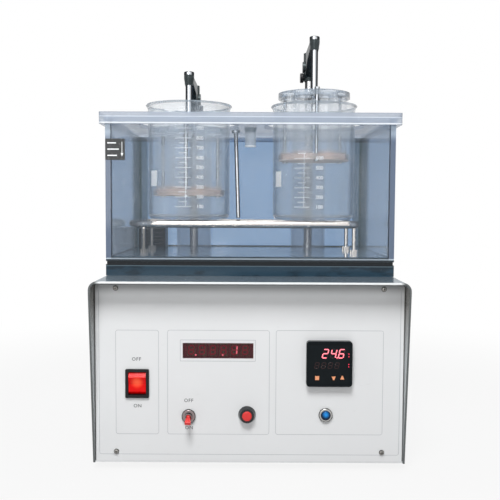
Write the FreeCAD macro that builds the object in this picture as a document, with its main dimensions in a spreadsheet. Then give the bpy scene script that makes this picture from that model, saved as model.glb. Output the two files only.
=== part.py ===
import FreeCAD, Part
import Sketcher
import math
import os

V = FreeCAD.Vector

# Bench tablet disintegration tester with two basket-rack stations.
# Frame: +Z up, front faces -Y, origin at the centre of the footprint on
# the bench surface.  All sizes are millimetres.

doc = FreeCAD.newDocument("DisintegrationTester")
sheet = doc.addObject("Spreadsheet::Sheet", "Sizes")

SIZES = [
    # cabinet
    ("cab_width", 330), ("cab_depth", 370), ("cab_top", 202.5),
    ("feet_height", 8), ("foot_radius", 10.5), ("foot_inset_side", 30),
    ("foot_inset_front", 62), ("foot_inset_rear", 34),
    ("sheet_thick", 2), ("bend_radius", 9), ("visor_depth", 21),
    ("visor_foot", 2), ("panel_thick", 3), ("base_thick", 2),
    ("base_flange", 12), ("cover_gap", 0.3), ("rear_recess", 3),
    ("vent_slot_length", 44), ("vent_slot_high", 3.2), ("vent_pitch", 9),
    ("vent_count", 7),
    # panel controls
    ("screw_inset_side", 24.4), ("screw_drop", 9), ("screw_rise", 11.5),
    ("screw_head_radius", 2.8), ("screw_head_high", 2.2), ("screw_shank_radius", 1.5),
    ("switch_inset", 46.8), ("switch_z", 92.6), ("switch_width", 25),
    ("switch_high", 30.6), ("switch_lip", 2), ("switch_rim", 3.1),
    ("switch_body_depth", 24), ("switch_tilt", 9), ("switch_gap", 0.35),
    ("timer_x", -33.1), ("timer_z", 127.7), ("timer_width", 74.5),
    ("timer_high", 16.3), ("timer_flange", 3), ("digit_width", 9.6),
    ("digit_high", 14), ("digit_pitch", 11.4),
    ("toggle_x", -64), ("toggle_z", 57.8), ("toggle_nut_radius", 7.3),
    ("toggle_bush_radius", 3.9), ("toggle_lever_long", 10.5), ("toggle_throw", 25),
    ("button_x", -2.3), ("button_z", 59.5), ("button_ring_radius", 9.3),
    ("button_ring_high", 6), ("button_cap_radius", 5.1), ("button_cap_high", 7.6),
    ("button_travel", 3),
    ("meter_inset", 81.4), ("meter_z", 115.3), ("meter_side", 48),
    ("meter_bezel_deep", 6.5), ("meter_body_side", 44.6), ("meter_body_deep", 74),
    ("key_size", 4.1), ("key_travel", 0.4), ("key_gap", 0.2),
    ("lamp_inset", 84.2), ("lamp_z", 59.6), ("lamp_ring_radius", 7.3),
    ("lamp_lens_radius", 5.15), ("lamp_case_wall", 0.75), ("lamp_body_deep", 24),
    # tank
    ("tank_width", 318), ("tank_depth", 220), ("tank_back_shift", 64.5),
    ("plinth_high", 12.5), ("gasket_high", 3.5), ("gasket_inset", 1),
    ("floor_thick", 5), ("wall_thick", 6), ("wall_top", 376.4),
    ("column_hole_gap", 1.6),
    ("lid_thick", 4.8), ("lid_skirt_thick", 5), ("lid_skirt_gap", 1),
    ("lid_skirt_drop", 7.9), ("lid_hole_radius", 61), ("lid_column_hole_radius", 12),
    ("guard_radius", 23), ("guard_wall", 2), ("guard_high", 121),
    ("heater_depth", 34), ("heater_high", 27), ("heater_gap_side", 3),
    ("heater_gap_back", 3), ("heater_gap_guard", 15),
    # stations
    ("station_pitch", 154), ("station_shift", 1), ("guard_gap_back", 6.5),
    ("column_reach", 79),
    # beaker rack
    ("rack_bar_radius", 4.5), ("rack_top", 262.6), ("rack_half_depth", 41),
    ("rack_gap_left", 3.5), ("rack_gap_right", 20.5), ("rack_left_bend", 36),
    ("rack_right_bend", 14), ("rack_leg_radius", 2.5), ("rack_leg_inset", 8),
    ("rack_leg_inset_left", 22), ("rack_foot_radius", 5.4), ("rack_foot_high", 4.5),
    # beakers
    ("beaker_radius", 50.25), ("beaker_wall", 1.9), ("beaker_base", 3),
    ("beaker_high", 140), ("beaker_corner", 8), ("beaker_lip", 2.75),
    ("beaker_lip_high", 7), ("spout_high", 17), ("spout_radius", 11.5),
    ("spout_wall", 1.8), ("seat_gap", 0.15),
    # lift columns and arms
    ("column_radius", 5.5), ("stroke", 55), ("mid_offset", 21.7),
    ("drive_mid", 137.5), ("column_tail", 95), ("arm_top_mid", 461.3),
    ("arm_thick", 12), ("arm_width", 11), ("arm_boss_radius", 6.25),
    ("arm_boss_high", 8.4), ("hub_radius", 7.6), ("hub_high", 36.7),
    ("arm_toe_thick", 10), ("knob_radius", 6.4), ("knob_thick", 4.2),
    ("knob_rise", 4.5), ("stud_radius", 2.4), ("run_gap", 0.05),
    ("side_gap", 0.3),
    # basket-rack
    ("hanger_radius", 4.35), ("hanger_gap", 0.1), ("head_radius", 6.2),
    ("head_high", 4), ("hanger_drop", 65.3), ("basket_radius", 44),
    ("plate_thick", 6.5), ("tube_long", 77.5), ("tube_radius", 12),
    ("tube_wall", 1.6), ("tube_circle", 29), ("tube_seat", 4.4),
    ("fit_gap", 0.06), ("tie_circle", 40), ("tie_radius", 2),
    ("tie_nut_radius", 3.1), ("tie_nut_high", 2.6), ("mesh_thick", 0.8),
    ("mesh_inset", 1.5), ("hanger_nut_radius", 7.5), ("hanger_nut_high", 4),
    # lid fittings
    ("probe_radius", 2.6), ("probe_x", -15.4), ("probe_back", 37), ("probe_low", 264.4),
    ("probe_tilt", 1.85), ("probe_nut_radius", 5.5), ("probe_nut_high", 3),
    ("sleeve_radius", 6.8), ("sleeve_wall", 1.3), ("sleeve_drop", 20.5),
    ("sleeve_nut_high", 3.2),
    # inner drive
    ("beam_thick", 8), ("beam_high", 22), ("beam_face_gap", 3),
    ("pin_radius", 4), ("slot_gap", 0.7), ("collar_radius", 10),
    ("collar_high", 16), ("pivot_radius", 6), ("pivot_boss_radius", 13),
    ("rod_offset", 38.5), ("rod_long", 60), ("rod_thick", 6),
    ("rod_eye_radius", 9), ("rod_pin_radius", 4), ("crank_radius", 26),
    ("crank_thick", 6), ("crank_shaft_radius", 6), ("gearbox_width", 64),
    ("gearbox_high", 74), ("gearbox_deep", 34), ("motor_radius", 29),
    ("motor_long", 72), ("frame_plate", 4), ("frame_half_width", 104),
    ("bush_radius", 8.5), ("bush_flange_radius", 11), ("bush_long", 17),
    ("lower_bush_long", 12), ("lower_bush_low", 74), ("shelf_thick", 5),
    ("crank_plate_gap", 2.2), ("shaft_seat", 14), ("motor_drop", 12),
    # supplies and inlet
    ("supply_width", 72), ("supply_depth", 96), ("supply_high", 42),
    ("supply_inset", 14), ("supply_gap", 6), ("fin_pitch", 8), ("fin_inset", 12),
    ("inlet_inset", 69), ("inlet_z", 44), ("inlet_width", 48), ("inlet_high", 28),
    ("inlet_deep", 24),
]


class Size:
    """A length that carries its value and the sheet formula behind it."""

    def __init__(self, text, value):
        self.text = text
        self.value = float(value)

    @staticmethod
    def of(other):
        if isinstance(other, Size):
            return other
        return Size(repr(float(other)), other)

    def __add__(self, other):
        other = Size.of(other)
        return Size("(%s + %s)" % (self.text, other.text), self.value + other.value)

    def __sub__(self, other):
        other = Size.of(other)
        return Size("(%s - %s)" % (self.text, other.text), self.value - other.value)

    def __mul__(self, other):
        other = Size.of(other)
        return Size("(%s * %s)" % (self.text, other.text), self.value * other.value)

    def __truediv__(self, other):
        other = Size.of(other)
        return Size("(%s / %s)" % (self.text, other.text), self.value / other.value)

    def __neg__(self):
        return Size("(0 - %s)" % self.text, -self.value)

    def __radd__(self, other):
        return Size.of(other) + self

    def __rsub__(self, other):
        return Size.of(other) - self

    def __rmul__(self, other):
        return Size.of(other) * self

    def __float__(self):
        return self.value


class Names:
    """Every sheet alias as a Size attribute."""


S = Names()
for row, (alias, value) in enumerate(SIZES, start=1):
    sheet.set("A%d" % row, alias)
    sheet.set("B%d" % row, str(value))
    sheet.setAlias("B%d" % row, alias)
doc.recompute()
for alias, value in SIZES:
    setattr(S, alias, Size("Sizes." + alias, getattr(sheet, alias)))


# ---------------------------------------------------------------- helpers

def bind(obj, prop, size):
    """Bind one property to a size, or set it when it is a plain number."""
    if isinstance(size, Size):
        obj.setExpression(prop, size.text)
    else:
        obj.setExpression(prop, repr(float(size)))


def move(obj, x=0, y=0, z=0, axis=None, angle=0):
    """Bind an object's place, turned by an angle about an axis."""
    if axis is not None:
        obj.Placement = FreeCAD.Placement(V(0, 0, 0), FreeCAD.Rotation(axis, float(angle)))
    bind(obj, "Placement.Base.x", x)
    bind(obj, "Placement.Base.y", y)
    bind(obj, "Placement.Base.z", z)
    return obj


def box(name, xs, ys, zs):
    """A block between two limits along each axis."""
    obj = doc.addObject("Part::Box", name)
    bind(obj, "Length", xs[1] - xs[0])
    bind(obj, "Width", ys[1] - ys[0])
    bind(obj, "Height", zs[1] - zs[0])
    return move(obj, xs[0], ys[0], zs[0])


TURN = {"Z": (None, 0), "X": (V(0, 1, 0), 90), "Y": (V(1, 0, 0), -90)}


def along(obj, span, at, direction):
    axis, angle = TURN[direction]
    place = {"Z": (at[0], at[1], span[0]),
             "X": (span[0], at[0], at[1]),
             "Y": (at[0], span[0], at[1])}[direction]
    return move(obj, *place, axis=axis, angle=angle)


def rod(name, radius, span, at, direction="Z"):
    """A round bar along an axis, from span[0] to span[1]."""
    obj = doc.addObject("Part::Cylinder", name)
    bind(obj, "Radius", radius)
    bind(obj, "Height", span[1] - span[0])
    return along(obj, span, at, direction)


def cone(name, low_radius, high_radius, span, at, direction="Z"):
    obj = doc.addObject("Part::Cone", name)
    bind(obj, "Radius1", low_radius)
    bind(obj, "Radius2", high_radius)
    bind(obj, "Height", span[1] - span[0])
    return along(obj, span, at, direction)


def fuse(name, *parts):
    obj = doc.addObject("Part::MultiFuse", name)
    obj.Shapes = list(parts)
    obj.Refine = True
    return obj


def cut(name, base, *tools):
    obj = doc.addObject("Part::Cut", name)
    obj.Base = base
    obj.Tool = tools[0] if len(tools) == 1 else fuse(name + "_tools", *tools)
    obj.Refine = True
    return obj


def common(name, *parts):
    obj = doc.addObject("Part::MultiCommon", name)
    obj.Shapes = list(parts)
    return obj


def group(name, *parts):
    """Separate solids of one kind kept together."""
    obj = doc.addObject("Part::Compound", name)
    obj.Links = list(parts)
    return obj


def edge_round(name, base, radius, wanted, kind="Part::Fillet"):
    """Round or chamfer the edges that wanted(edge) picks."""
    doc.recompute()
    obj = doc.addObject(kind, name)
    obj.Base = base
    picked = [i for i, edge in enumerate(base.Shape.Edges, start=1) if wanted(edge)]
    obj.Edges = [(i, float(radius), float(radius)) for i in picked]
    return obj


def runs(edge, direction):
    """True for a straight edge along a direction."""
    if not isinstance(edge.Curve, Part.Line):
        return False
    return abs(abs(edge.Curve.Direction.dot(direction)) - 1) < 1e-6


def centre(edge):
    return edge.BoundBox.Center


def origin_plane(body, role):
    return next(f for f in body.Origin.OriginFeatures if f.Role == role)


def sketch_on(body, name, role):
    sketch = body.newObject("Sketcher::SketchObject", name)
    sketch.AttachmentSupport = [(origin_plane(body, role), "")]
    sketch.MapMode = "FlatFace"
    return sketch


def outline(sketch, points):
    """A closed polygon whose corners are bound to sizes."""
    count = len(points)
    for i in range(count):
        a = points[i]
        b = points[(i + 1) % count]
        sketch.addGeometry(Part.LineSegment(V(float(a[0]), float(a[1]), 0),
                                            V(float(b[0]), float(b[1]), 0)))
    for i in range(count):
        sketch.addConstraint(Sketcher.Constraint("Coincident", i, 2, (i + 1) % count, 1))
    for i, (px, py) in enumerate(points):
        for kind, size in (("DistanceX", px), ("DistanceY", py)):
            index = sketch.addConstraint(
                Sketcher.Constraint(kind, -1, 1, i, 1, float(size)))
            name = "p%d%s" % (i, kind[-1].lower())
            sketch.renameConstraint(index, name)
            bind(sketch, "Constraints." + name, size)


def ring(sketch, radius, at=(0, 0)):
    """A circle bound to sizes."""
    index = sketch.addGeometry(Part.Circle(V(float(at[0]), float(at[1]), 0), V(0, 0, 1),
                                           float(radius)))
    rows = [("Radius", (index,), radius, "r"),
            ("DistanceX", (-1, 1, index, 3), at[0], "x"),
            ("DistanceY", (-1, 1, index, 3), at[1], "y")]
    for kind, refs, size, letter in rows:
        number = sketch.addConstraint(Sketcher.Constraint(kind, *refs, float(size)))
        name = "c%d%s" % (index, letter)
        sketch.renameConstraint(number, name)
        bind(sketch, "Constraints." + name, size)


def pad_body(name, role, points, span):
    """A body: one outline padded along its plane's normal over a span."""
    body = doc.addObject("PartDesign::Body", name)
    sketch = sketch_on(body, name + "_outline", role)
    outline(sketch, points)
    pad = body.newObject("PartDesign::Pad", name + "_pad")
    pad.Profile = sketch
    bind(pad, "Length", span[1] - span[0])
    # the XZ plane's normal is -Y, so that pad starts at the far side
    if role == "XZ_Plane":
        bind(body, "Placement.Base.y", span[1])
    elif role == "YZ_Plane":
        bind(body, "Placement.Base.x", span[0])
    else:
        bind(body, "Placement.Base.z", span[0])
    return body


def turned_body(name, points):
    """A body: one outline in the XZ plane turned about Z."""
    body = doc.addObject("PartDesign::Body", name)
    sketch = sketch_on(body, name + "_outline", "XZ_Plane")
    outline(sketch, points)
    turned = body.newObject("PartDesign::Revolution", name + "_turned")
    turned.Profile = sketch
    turned.ReferenceAxis = (sketch, ["V_Axis"])
    turned.Angle = 360
    return body


NODES = []


def node(obj, label):
    """Name a finished piece."""
    obj.Label = label
    NODES.append((label, obj))
    return obj


X, Y, Z = V(1, 0, 0), V(0, 1, 0), V(0, 0, 1)

# ---------------------------------------------------------------- places

front = -S.cab_depth / 2
rear = S.cab_depth / 2
face = front + S.visor_depth
half = S.cab_width / 2
base_low = S.feet_height
base_top = base_low + S.base_thick
under_cover = S.cab_top - S.sheet_thick
panel_half = half - S.sheet_thick - S.cover_gap
panel_back = face + S.panel_thick
back_face = rear - S.rear_recess

tank_half = S.tank_width / 2
tank_front = front + S.tank_back_shift
tank_rear = tank_front + S.tank_depth
plinth_top = S.cab_top + S.plinth_high
tank_low = plinth_top + S.gasket_high
floor_top = tank_low + S.floor_thick

column_y = tank_rear - S.wall_thick - S.guard_gap_back - S.guard_radius
beaker_y = column_y - S.column_reach
station_x = {"left": S.station_shift - S.station_pitch / 2,
             "right": S.station_shift + S.station_pitch / 2}
lift = {"left": -S.mid_offset, "right": S.mid_offset}
column_hole = S.column_radius + S.column_hole_gap
switch_x = S.switch_inset - half
meter_x = half - S.meter_inset
lamp_x = half - S.lamp_inset
inlet_x = S.inlet_inset - half


def column_holes(name, radius, span):
    return [rod("%s_%s" % (name, side), radius, span, (station_x[side], column_y))
            for side in ("left", "right")]


def bend(name, cx, cz, radius, start, stop, steps):
    """Corner points of a rounded profile."""
    points = []
    for i in range(steps + 1):
        angle = math.radians(start + (stop - start) * i / steps)
        points.append((cx + radius * math.cos(angle), cz + radius * math.sin(angle)))
    return points


# ---------------------------------------------------------------- cabinet

floor_pan = box("pan_floor", (-panel_half, panel_half), (face, back_face), (base_low, base_top))
pan_front = box("pan_front", (-panel_half, panel_half), (panel_back, panel_back + S.base_thick),
                (base_top, base_top + 1.7 * S.base_flange))
pan_sides = [box("pan_side_%d" % i, xs, (panel_back, back_face - S.base_thick),
                 (base_top, base_top + S.base_flange))
             for i, xs in enumerate(((-panel_half, S.base_thick - panel_half),
                                     (panel_half - S.base_thick, panel_half)))]
node(fuse("pan", floor_pan, pan_front, *pan_sides), "base_plate")

foot_x = half - S.foot_inset_side
feet = []
for i, (fx, fy) in enumerate(((-foot_x, front + S.foot_inset_front),
                              (foot_x, front + S.foot_inset_front),
                              (-foot_x, rear - S.foot_inset_rear),
                              (foot_x, rear - S.foot_inset_rear))):
    feet.append(cone("foot_%d" % i, 0.85 * S.foot_radius, S.foot_radius,
                     (0, S.feet_height), (fx, fy)))
node(group("feet", *feet), "rubber_feet")

switch_half = (S.switch_width / 2, S.switch_high / 2)
screw_x = half - S.screw_inset_side
screw_z = (base_low + S.screw_rise, S.cab_top - S.screw_drop)
screw_spots = [(sx, sz) for sx in (-screw_x, screw_x) for sz in screw_z]
body_trim = 1.6

plate = box("panel_plate", (-panel_half, panel_half), (face, panel_back),
            (base_top, under_cover))
plate = edge_round("panel_corners", plate, S.bend_radius - S.sheet_thick + S.cover_gap,
                   lambda e: runs(e, Y) and centre(e).z > float(under_cover) - 1)
through = (face - 1, panel_back + 1)
holes = [
    box("switch_hole", (switch_x - switch_half[0] + body_trim, switch_x + switch_half[0] - body_trim),
        through, (S.switch_z - switch_half[1] + body_trim, S.switch_z + switch_half[1] - body_trim)),
    box("timer_hole", (S.timer_x - S.timer_width / 2, S.timer_x + S.timer_width / 2),
        through, (S.timer_z - S.timer_high / 2, S.timer_z + S.timer_high / 2)),
    rod("toggle_hole", S.toggle_bush_radius + S.fit_gap, through, (S.toggle_x, S.toggle_z), "Y"),
    rod("button_hole", S.button_ring_radius - body_trim + S.fit_gap, through, (S.button_x, S.button_z), "Y"),
    box("meter_hole", (meter_x - S.meter_body_side / 2, meter_x + S.meter_body_side / 2),
        through, (S.meter_z - S.meter_body_side / 2, S.meter_z + S.meter_body_side / 2)),
    rod("lamp_hole", S.lamp_lens_radius + S.lamp_case_wall + S.fit_gap, through, (lamp_x, S.lamp_z), "Y"),
]
for i, spot in enumerate(screw_spots):
    holes.append(rod("screw_hole_%d" % i, S.screw_shank_radius + S.fit_gap, through, spot, "Y"))
node(cut("panel", plate, *holes), "front_panel")

screws = []
for i, spot in enumerate(screw_spots):
    head = rod("screw_head_%d" % i, S.screw_head_radius,
               (face - S.screw_head_high, face), spot, "Y")
    shank = rod("screw_shank_%d" % i, S.screw_shank_radius,
                (face, panel_back), spot, "Y")
    screws.append(fuse("screw_%d" % i, head, shank))
node(group("screws", *screws), "panel_screws")

shell = box("cover_outer", (-half, half), (front, rear), (base_low, S.cab_top))
shell = edge_round("cover_bends", shell, S.bend_radius,
                   lambda e: runs(e, Y) and centre(e).z > float(S.cab_top) - 1)
room = box("cover_inner", (S.sheet_thick - half, half - S.sheet_thick),
           (front - 1, rear + 1), (base_low - 1, under_cover))
room = edge_round("cover_inner_bends", room, S.bend_radius - S.sheet_thick,
                  lambda e: runs(e, Y) and centre(e).z > float(under_cover) - 1)
visor_low = S.cab_top - 1.4 * S.bend_radius
rake = pad_body("visor_rake", "YZ_Plane", [
    (front - 6, base_low - 1), (face - S.visor_foot, base_low - 1),
    (face - S.visor_foot, base_low), (front, visor_low), (front - 6, visor_low)],
    (-half - 1, half + 1))
shell = cut("cover_shell", shell, room, rake,
            *column_holes("cover_hole", column_hole, (under_cover - 1, S.cab_top + 1)))
tabs = [box("cover_tab_%d" % i, xs, (panel_back, panel_back + S.sheet_thick),
            (under_cover - 20, under_cover - 1))
        for i, xs in enumerate(((S.sheet_thick - half, 36 - half),
                                (half - 36, half - S.sheet_thick)))]
node(fuse("cover", shell, *tabs), "cabinet_cover")

back = box("back_plate", (-panel_half, panel_half), (back_face - S.sheet_thick, back_face),
           (base_top, under_cover))
back = edge_round("back_corners", back, S.bend_radius - S.sheet_thick + S.cover_gap,
                  lambda e: runs(e, Y) and centre(e).z > float(under_cover) - 1)
vents = [box("inlet_hole", (inlet_x - S.inlet_width / 2 + 6, inlet_x + S.inlet_width / 2 - 6),
             (back_face - 5, back_face + 1),
             (S.inlet_z - S.inlet_high / 2 + 3, S.inlet_z + S.inlet_high / 2 - 3))]
for i in range(int(float(S.vent_count))):
    low = 0.55 * S.cab_top + i * S.vent_pitch
    vents.append(box("vent_%d" % i, (-S.vent_slot_length / 2, S.vent_slot_length / 2),
                     (back_face - 5, back_face + 1), (low, low + S.vent_slot_high)))
node(cut("back", back, *vents), "rear_panel")

# ---------------------------------------------------------------- tank

tank_ys = (tank_front, tank_rear)
plinth = box("plinth_block", (-tank_half, tank_half), tank_ys, (S.cab_top, plinth_top))
gasket = box("gasket_block", (S.gasket_inset - tank_half, tank_half - S.gasket_inset),
             (tank_front + S.gasket_inset, tank_rear - S.gasket_inset), (plinth_top, tank_low))
plinth = fuse("plinth_solid", plinth, gasket)
node(cut("plinth", plinth, *column_holes("plinth_hole", column_hole,
                                         (S.cab_top - 1, tank_low + 1))), "tank_plinth")

inner_half = tank_half - S.wall_thick
inner_front = tank_front + S.wall_thick
inner_rear = tank_rear - S.wall_thick
tank_floor = box("floor_sheet", (-inner_half, inner_half), (inner_front, inner_rear),
                 (tank_low, floor_top))
node(cut("tank_bottom", tank_floor, *column_holes("floor_hole", column_hole,
                                                  (tank_low - 1, floor_top + 1))), "tank_floor")
wall_z = (tank_low, S.wall_top)
node(box("wall_front", (-tank_half, tank_half), (tank_front, inner_front), wall_z),
     "tank_front_wall")
node(box("wall_rear", (-tank_half, tank_half), (inner_rear, tank_rear), wall_z),
     "tank_rear_wall")
node(box("wall_left", (-tank_half, -inner_half), (inner_front, inner_rear), wall_z),
     "tank_left_wall")
node(box("wall_right", (inner_half, tank_half), (inner_front, inner_rear), wall_z),
     "tank_right_wall")

guard_z = (floor_top, floor_top + S.guard_high)
guards = []
for side in ("left", "right"):
    at = (station_x[side], column_y)
    guards.append(cut("guard_" + side, rod("guard_out_" + side, S.guard_radius, guard_z, at),
                      rod("guard_in_" + side, S.guard_radius - S.guard_wall,
                          (guard_z[0] - 1, guard_z[1] + 1), at)))
node(group("guards", *guards), "column_guard_tubes")

heat_x = (S.heater_gap_side - inner_half,
          station_x["left"] - S.guard_radius - S.heater_gap_guard)
heat_y = (inner_rear - S.heater_gap_back - S.heater_depth, inner_rear - S.heater_gap_back)
heater = box("heater_block", heat_x, heat_y, (floor_top, floor_top + S.heater_high))
heater = edge_round("heater_soft", heater, 2.5, lambda e: centre(e).z > float(floor_top) + 1)
slots = []
for i in range(4):
    low = floor_top + 5 + 5 * i
    slots.append(box("heater_slot_%d" % i, (heat_x[0] + 5, heat_x[1] - 5),
                     (heat_y[0] - 1, heat_y[0] + 3), (low, low + 2.2)))
node(cut("heater", heater, *slots), "immersion_heater")

# beaker rack: one bent bar loop on four thin legs with star feet
bar_z = S.rack_top - S.rack_bar_radius
bar_y = (beaker_y - S.rack_half_depth, beaker_y + S.rack_half_depth)
rack_left = inner_half - S.rack_gap_left
rack_right = inner_half - S.rack_gap_right
bar_x = (S.rack_bar_radius - rack_left, rack_right - S.rack_bar_radius)
bends = (S.rack_left_bend, S.rack_right_bend)
rack = [rod("rack_front", S.rack_bar_radius, (bar_x[0] + bends[0], bar_x[1] - bends[1]),
            (bar_y[0], bar_z), "X"),
        rod("rack_rear", S.rack_bar_radius, (bar_x[0] + bends[0], bar_x[1] - bends[1]),
            (bar_y[1], bar_z), "X"),
        rod("rack_left_end", S.rack_bar_radius, (bar_y[0] + bends[0], bar_y[1] - bends[0]),
            (bar_x[0], bar_z), "Y"),
        rod("rack_right_end", S.rack_bar_radius, (bar_y[0] + bends[1], bar_y[1] - bends[1]),
            (bar_x[1], bar_z), "Y")]
corners = ((bar_x[1] - bends[1], bar_y[1] - bends[1], bends[1], 0),
           (bar_x[0] + bends[0], bar_y[1] - bends[0], bends[0], 90),
           (bar_x[0] + bends[0], bar_y[0] + bends[0], bends[0], 180),
           (bar_x[1] - bends[1], bar_y[0] + bends[1], bends[1], 270))
for i, (cx, cy, radius, angle) in enumerate(corners):
    corner = doc.addObject("Part::Torus", "rack_corner_%d" % i)
    bind(corner, "Radius1", radius)
    bind(corner, "Radius2", S.rack_bar_radius)
    corner.Angle3 = 90
    rack.append(move(corner, cx, cy, bar_z, axis=Z, angle=angle))
foot_z = (floor_top, floor_top + S.rack_foot_high)
leg_spots = []
for leg_x, inset, radius in (
        (S.rack_leg_inset_left - rack_left, S.rack_leg_inset_left, S.rack_left_bend),
        (rack_right - S.rack_leg_inset, S.rack_leg_inset, S.rack_right_bend)):
    # each leg stands under the middle of its bend's bar
    across = radius + S.rack_bar_radius - inset
    tuck = radius - math.sqrt(float(radius) ** 2 - float(across) ** 2)
    leg_spots += [(leg_x, bar_y[0] + tuck), (leg_x, bar_y[1] - tuck)]
for i, (lx, ly) in enumerate(leg_spots):
    rack.append(rod("rack_leg_%d" % i, S.rack_leg_radius, (foot_z[0], bar_z), (lx, ly)))
    rack.append(rod("rack_foot_%d" % i, 0.62 * S.rack_foot_radius, foot_z, (lx, ly)))
    for k in range(5):
        turn = math.radians(90 + 72 * k)
        rack.append(rod("rack_lobe_%d_%d" % (i, k), 0.28 * S.rack_foot_radius, foot_z,
                        (lx + 0.72 * S.rack_foot_radius * math.cos(turn),
                         ly + 0.72 * S.rack_foot_radius * math.sin(turn))))
node(fuse("rack", *rack), "beaker_rack")

# ---------------------------------------------------------------- beakers

beaker_low = S.rack_top + S.seat_gap


def beaker(side, spout_turn):
    """A spouted low-form beaker standing on the rack."""
    r, w, high = S.beaker_radius, S.beaker_wall, S.beaker_high
    inner = r - w
    inner_corner = S.beaker_corner - w
    lip, lip_high = S.beaker_lip, S.beaker_lip_high
    points = [(0 * r, 0 * r)]
    points += bend("foot", r - S.beaker_corner, S.beaker_corner, S.beaker_corner, -90, 0, 4)
    points += [(r, high - lip_high), (r + 0.35 * lip, high - 0.5 * lip_high),
               (r + lip, high - 0.18 * lip_high), (r + 0.75 * lip, high),
               (r - w + 0.95 * lip, high), (inner + 0.3 * lip, high - 0.5 * lip_high),
               (inner, high - lip_high)]
    points += bend("well", inner - inner_corner, S.beaker_base + inner_corner, inner_corner,
                   0, -90, 4)
    points += [(0 * r, S.beaker_base)]
    glass = turned_body("beaker_glass_" + side, points)
    top = high
    offset = r - 0.5 * S.spout_radius
    at = (offset * math.cos(math.radians(spout_turn)), offset * math.sin(math.radians(spout_turn)))
    lip_out = cone("spout_out_" + side, 0.8, S.spout_radius, (top - S.spout_high, top), at)
    bore = rod("spout_clear_" + side, r - 0.5 * w, (top - S.spout_high - 1, top + 1), (0, 0))
    lip_shell = cut("spout_shell_" + side, lip_out, bore)
    pour = cone("spout_pour_" + side, 0.5, S.spout_radius - S.spout_wall + 0.3,
                (top - S.spout_high + 2 * S.spout_wall, top + 0.4), at)
    body = cut("beaker_" + side, fuse("beaker_spouted_" + side, glass, lip_shell), pour)
    move(body, station_x[side], beaker_y, beaker_low)
    return node(body, "beaker_" + side)


beaker("left", 125)
beaker("right", 125)

# ---------------------------------------------------------------- columns and arms

swing = math.degrees(math.atan(float(S.mid_offset) / (float(S.station_pitch) / 2)))
pin_face = column_y - S.collar_radius
beam_back = pin_face - S.beam_face_gap
beam_front = beam_back - S.beam_thick


def station(side, inner_side):
    """Lift column, arm and clamp knob of one station."""
    x = station_x[side]
    top = S.arm_top_mid + lift[side]
    pin_z = S.drive_mid + lift[side]
    hub_low = top - S.hub_high
    column_top = top - 4
    shaft = rod("column_shaft_" + side, S.column_radius,
                (pin_z - S.column_tail, column_top), (x, column_y))
    collar = rod("column_collar_" + side, S.collar_radius,
                 (pin_z - S.collar_high / 2, pin_z + S.collar_high / 2), (x, column_y))
    pin = rod("column_pin_" + side, S.pin_radius, (beam_front - 1, column_y), (x, pin_z), "Y")
    node(fuse("column_" + side, shaft, collar, pin), "lift_column_" + side)

    web = pad_body("arm_web_" + side, "YZ_Plane", [
        (beaker_y, top), (column_y, top), (column_y, hub_low + 3),
        (column_y - 0.6 * S.hub_radius, hub_low + 3),
        (column_y - 0.45 * S.column_reach, top - S.arm_thick - 3),
        (beaker_y, top - S.arm_toe_thick)],
        (x - S.arm_width / 2, x + S.arm_width / 2))
    web = edge_round("arm_edges_" + side, web, 1.4,
                     lambda e: centre(e).z > float(top) - 0.5 and runs(e, Y))
    boss = rod("arm_boss_" + side, S.arm_boss_radius, (top - 3.7, top), (x, beaker_y))
    nose = cone("arm_nose_" + side, S.hanger_radius + 0.6, S.arm_boss_radius,
                (top - 3.7 - S.arm_boss_high, top - 3.7), (x, beaker_y))
    hub = rod("arm_hub_" + side, S.hub_radius, (hub_low, top), (x, column_y))
    knob_z = hub_low + S.knob_rise
    cheek_x = (x + inner_side * (S.hub_radius - 2.2), x + inner_side * (S.hub_radius + 1.3))
    if inner_side < 0:
        cheek_x = (cheek_x[1], cheek_x[0])
    cheek_radius = 1.15 * S.knob_radius
    cheek = rod("arm_cheek_" + side, cheek_radius, cheek_x,
                (column_y, knob_z + S.knob_radius + S.side_gap + cheek_radius), "X")
    bore = rod("arm_bore_" + side, S.column_radius + S.fit_gap, (hub_low - 1, column_top),
               (x, column_y))
    eye = rod("arm_eye_" + side, S.hanger_radius + S.hanger_gap, (top - 20, top + 1),
              (x, beaker_y))
    stud_x = (x + inner_side * (S.column_radius + S.side_gap), x + inner_side * (S.hub_radius + 2))
    if inner_side < 0:
        stud_x = (stud_x[1], stud_x[0])
    stud_hole = rod("arm_stud_hole_" + side, S.stud_radius + S.run_gap, stud_x,
                    (column_y, knob_z), "X")
    split = box("arm_split_" + side, (x - 0.7, x + 0.7),
                (column_y + 0.5 * S.column_radius, column_y + S.hub_radius + 2),
                (hub_low - 1, hub_low + 0.5 * S.hub_high))
    bar = fuse("arm_bar_" + side, web, boss, nose)
    clamp = fuse("arm_clamp_" + side, hub, cheek)
    node(cut("arm_" + side, fuse("arm_solid_" + side, bar, clamp),
             bore, eye, stud_hole, split), "arm_" + side)

    grip_in = S.hub_radius + S.side_gap
    grip_x = (x + inner_side * grip_in, x + inner_side * (grip_in + S.knob_thick))
    shank_x = (x + inner_side * (S.column_radius + S.side_gap), x + inner_side * grip_in)
    if inner_side < 0:
        grip_x, shank_x = (grip_x[1], grip_x[0]), (shank_x[1], shank_x[0])
    grip = rod("knob_grip_" + side, S.knob_radius, grip_x, (column_y, knob_z), "X")
    grip = edge_round("knob_soft_" + side, grip, 0.8, lambda e: True)
    shank = rod("knob_stud_" + side, S.stud_radius, shank_x, (column_y, knob_z), "X")
    node(fuse("knob_" + side, grip, shank), "arm_knob_" + side)


station("left", 1)
station("right", -1)


# ---------------------------------------------------------------- basket-racks

def polar(at, radius, degrees):
    angle = math.radians(degrees)
    return (at[0] + radius * math.cos(angle), at[1] + radius * math.sin(angle))


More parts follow.
